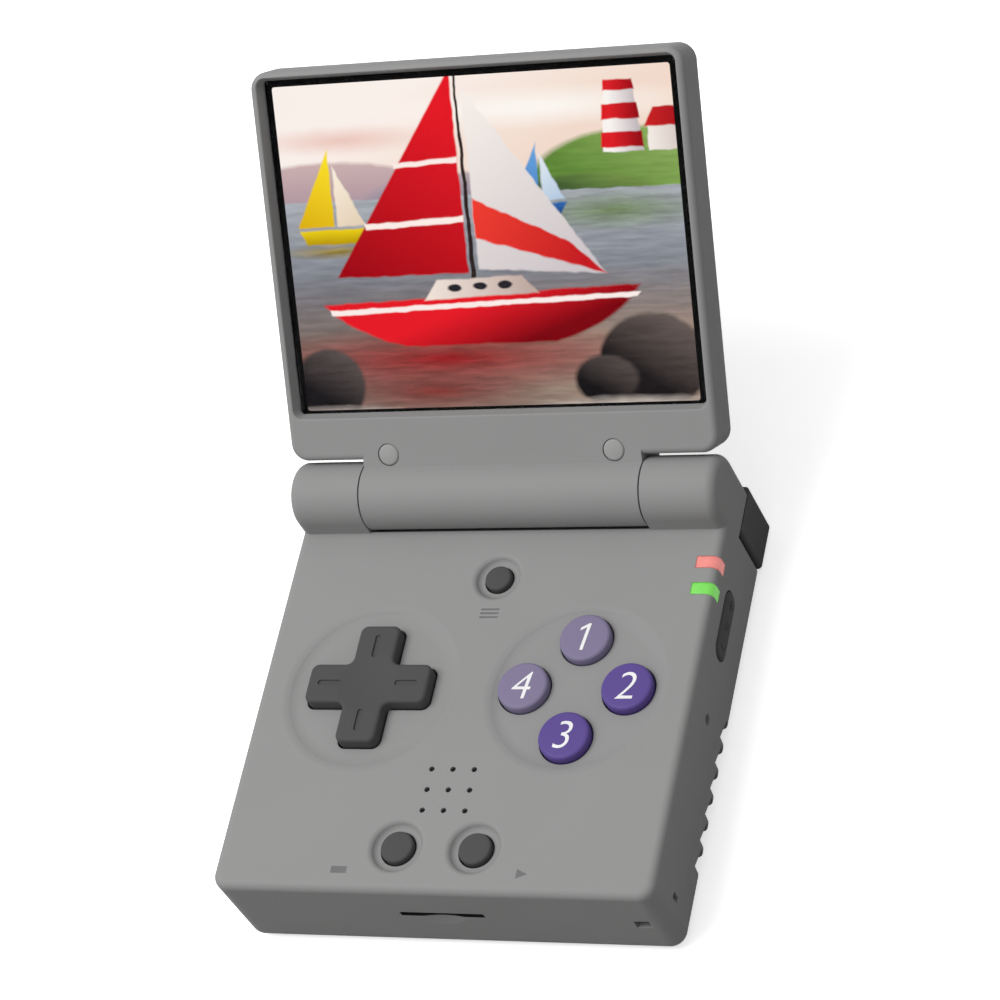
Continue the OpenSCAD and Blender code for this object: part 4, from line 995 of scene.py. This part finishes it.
def enlarged(shapes, factor, about):
    grownShapes = []
    for shape in shapes:
        change = dict(shape)

        def moved(point):
            return tuple(centre + (value - centre) * factor for value, centre in zip(point, about))

        if "corners" in shape:
            change["corners"] = [moved(point) for point in shape["corners"]]
        if "oval" in shape:
            radii = shape["oval"][2:]
            change["oval"] = moved(shape["oval"][:2]) + tuple(radius * factor for radius in radii)
        if "along" in shape:
            change["along"] = tuple(moved(point) for point in shape["along"])
        grownShapes.append(change)
    return grownShapes


bayPicture = sky + land + tower + water + farBoats + enlarged(redBoat, 1.14, (-3, 5)) + rocks


def shapeMask(tree, u, v, shape):
    # how far inside the outline a point lies, turned into a soft 0-1 mask
    inner = None
    if "oval" in shape:
        x, y, halfWide, halfHigh = shape["oval"]
        across = mathNode(tree, "DIVIDE", mathNode(tree, "SUBTRACT", u, x), halfWide)
        up = mathNode(tree, "DIVIDE", mathNode(tree, "SUBTRACT", v, y), halfHigh)
        square = mathNode(tree, "MULTIPLY_ADD", across, across, mathNode(tree, "MULTIPLY", up, up))
        depth = mathNode(tree, "SUBTRACT", 1.0, mathNode(tree, "SQRT", square))
        inner = mathNode(tree, "MULTIPLY", depth, min(halfWide, halfHigh))
    if "corners" in shape:
        corners = shape["corners"]
        area = sum(a[0] * b[1] - b[0] * a[1] for a, b in zip(corners, corners[1:] + corners[:1]))
        if area < 0:
            corners = corners[::-1]
        for start, end in zip(corners, corners[1:] + corners[:1]):
            dx, dy = end[0] - start[0], end[1] - start[1]
            length = math.hypot(dx, dy)
            away = (dy * start[0] - dx * start[1]) / length
            side = mathNode(tree, "MULTIPLY_ADD", u, -dy / length, away)
            side = mathNode(tree, "MULTIPLY_ADD", v, dx / length, side)
            inner = side if inner is None else mathNode(tree, "MINIMUM", inner, side)
    soft = shape.get("soft", pictureMake["soft"])
    return rangeNode(tree, inner, -soft, soft)


def paintShape(tree, u, v, streaks, below, shape):
    mask = shapeMask(tree, u, v, shape)
    colour = tone(*shape["colour"])
    if "second" in shape:
        (x0, y0), (x1, y1) = shape["along"]
        dx, dy = x1 - x0, y1 - y0
        square = dx * dx + dy * dy
        share = mathNode(tree, "MULTIPLY_ADD", u, dx / square, -(x0 * dx + y0 * dy) / square)
        share = mathNode(tree, "MULTIPLY_ADD", v, dy / square, share, clamp=True)
        colour = mixColour(tree, share, colour, tone(*shape["second"]))
    if "streak" in shape:
        strength = shape["streak"]
        lightened = rangeNode(tree, streaks, 0.35, 0.7, 1 - 0.35 * strength, 1 + 0.3 * strength)
        flat = colour[:3] if isinstance(colour, tuple) else colour
        feeds = {0: flat, "Scale": lightened}
        shade = addNode(tree, "ShaderNodeVectorMath", feeds, operation="SCALE")
        colour = shade.outputs["Vector"]
    return mixColour(tree, mask, below, colour)


def pictureMaterial(make):
    material, tree, shader = startMaterial("litPicture")
    place = objectPlace(tree)
    ripple = addNode(tree, "ShaderNodeTexNoise", {"Vector": place, "Scale": 420, "Detail": 2})
    wobble = mathNode(tree, "MULTIPLY_ADD", ripple.outputs["Fac"], 0.5, -0.25)
    apart = addNode(tree, "ShaderNodeSeparateXYZ", {0: place})
    u = mathNode(tree, "MULTIPLY_ADD", apart.outputs["X"], perMetre, wobble)
    lowered = mathNode(tree, "SUBTRACT", wobble, make["start"])
    v = mathNode(tree, "MULTIPLY_ADD", apart.outputs["Y"], perMetre, lowered)
    stretched = addNode(tree, "ShaderNodeCombineXYZ", {
        "X": mathNode(tree, "MULTIPLY", u, 0.16), "Y": mathNode(tree, "MULTIPLY", v, 1.5)})
    streaks = addNode(tree, "ShaderNodeTexNoise", {
        "Vector": stretched.outputs["Vector"], "Scale": 1.0, "Detail": 4, "Roughness": 0.55})
    picture = tone(*make["ground"])
    for shape in bayPicture:
        picture = paintShape(tree, u, v, streaks.outputs["Fac"], picture, shape)
    feedNode(tree, shader, {"Emission Color": picture, "Emission Strength": make["glow"],
                            "Base Color": (0, 0, 0, 1), "Roughness": 0.3,
                            "Specular IOR Level": 0.0})
    return material


def buildPicture(make):
    half, start, end = make["width"] / 2, make["start"], make["start"] + make["height"]
    outline = [(-half, start), (half, start), (half, end), (-half, end)]
    points, faces = prism(outline, make["level"], make["level"] + make["thick"])
    makeObject("litPicture", points, faces, "lid", "lens_glass", lidPlace, pictureMaterial(make))


buildPicture(pictureMake)
print("picture built")


# rubber pads on the lid
bumperMake = {"places": [(-16.3, 5.97), (16.3, 5.97)], "radius": 1.5, "low": 0.95, "top": 2.03,
              "edge": 0.42, "crown": 0.1}


def buildBumpers(make):
    points, faces = [], []
    profile = domedProfile(make, (0.3, 0.55, 0.8))
    profile += [(make["radius"], make["low"]), (0.0, make["low"])]
    for centre in make["places"]:
        joinPart(points, faces, latheFaces(profile, centre, 64))
    pads = makeObject("lidBumpers", points, faces, "lid", "bumper_rubber", lidPlace)
    smoothShade(pads)
    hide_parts("lid_pads")


buildBumpers(bumperMake)
print("lid pads built")


# lamps, world and floor
lightMake = {
    "key": {"place": (-0.45, -0.1, 1.0), "aim": (0, 0.02, 0.02), "size": 0.8, "power": 8.6},
    "ambient": 0.52,
    "floorBounce": 0.09,
    "floorLift": 0.55,
    "floorSize": 3.0,         # metres to each side
    "floorLevel": -0.0002,
}


def backdropRay(tree):
    # 1 for what the camera sees directly, in gloss or through glass
    path = addNode(tree, "ShaderNodeLightPath")
    gloss, glass = path.outputs["Is Glossy Ray"], path.outputs["Is Transmission Ray"]
    mirrored = mathNode(tree, "MAXIMUM", gloss, glass)
    return mathNode(tree, "MAXIMUM", path.outputs["Is Camera Ray"], mirrored)


def addFloor(make):
    size, level = make["floorSize"], make["floorLevel"]
    corners = [(x * size, y * size, level) for x, y in ((-1, -1), (1, -1), (1, 1), (-1, 1))]
    mesh = bpy.data.meshes.new("studioFloor")
    mesh.from_pydata(corners, [], [(0, 1, 2, 3)])
    floor = bpy.data.objects.new("studioFloor", mesh)
    scene.collection.objects.link(floor)
    material, tree, shader = startMaterial("studioFloor")
    grey, lift = make["floorBounce"], make["floorLift"]
    direct = addNode(tree, "ShaderNodeLightPath").outputs["Is Camera Ray"]
    feedNode(tree, shader, {
        "Base Color": mixColour(tree, backdropRay(tree), (grey, grey, grey, 1), (1, 1, 1, 1)),
        "Emission Color": mixColour(tree, direct, (0, 0, 0, 1), (lift, lift, lift, 1)),
        "Emission Strength": 1.0, "Roughness": 0.9, "Specular IOR Level": 0.0})
    mesh.materials.append(material)


def addWorld(make):
    world = bpy.data.worlds.new("studioWorld")
    world.use_nodes = True
    scene.world = world
    tree = world.node_tree
    strength = rangeNode(tree, backdropRay(tree), 0, 1, make["ambient"], 1.0)
    feedNode(tree, tree.nodes["Background"], {"Color": (1, 1, 1, 1), "Strength": strength})


def addKey(make):
    data = bpy.data.lights.new("keyLight", "AREA")
    data.shape = "DISK"
    data.size = make["size"]
    data.energy = make["power"]
    lamp = bpy.data.objects.new("keyLight", data)
    lamp.location = make["place"]
    aim = Vector(make["aim"]) - Vector(make["place"])
    lamp.rotation_euler = aim.to_track_quat("-Z", "Y").to_euler()
    scene.collection.objects.link(lamp)


addFloor(lightMake)
addWorld(lightMake)
addKey(lightMake["key"])
scene.view_settings.view_transform = "Standard"
print("floor, light and world set")

bpy.context.view_layer.update()
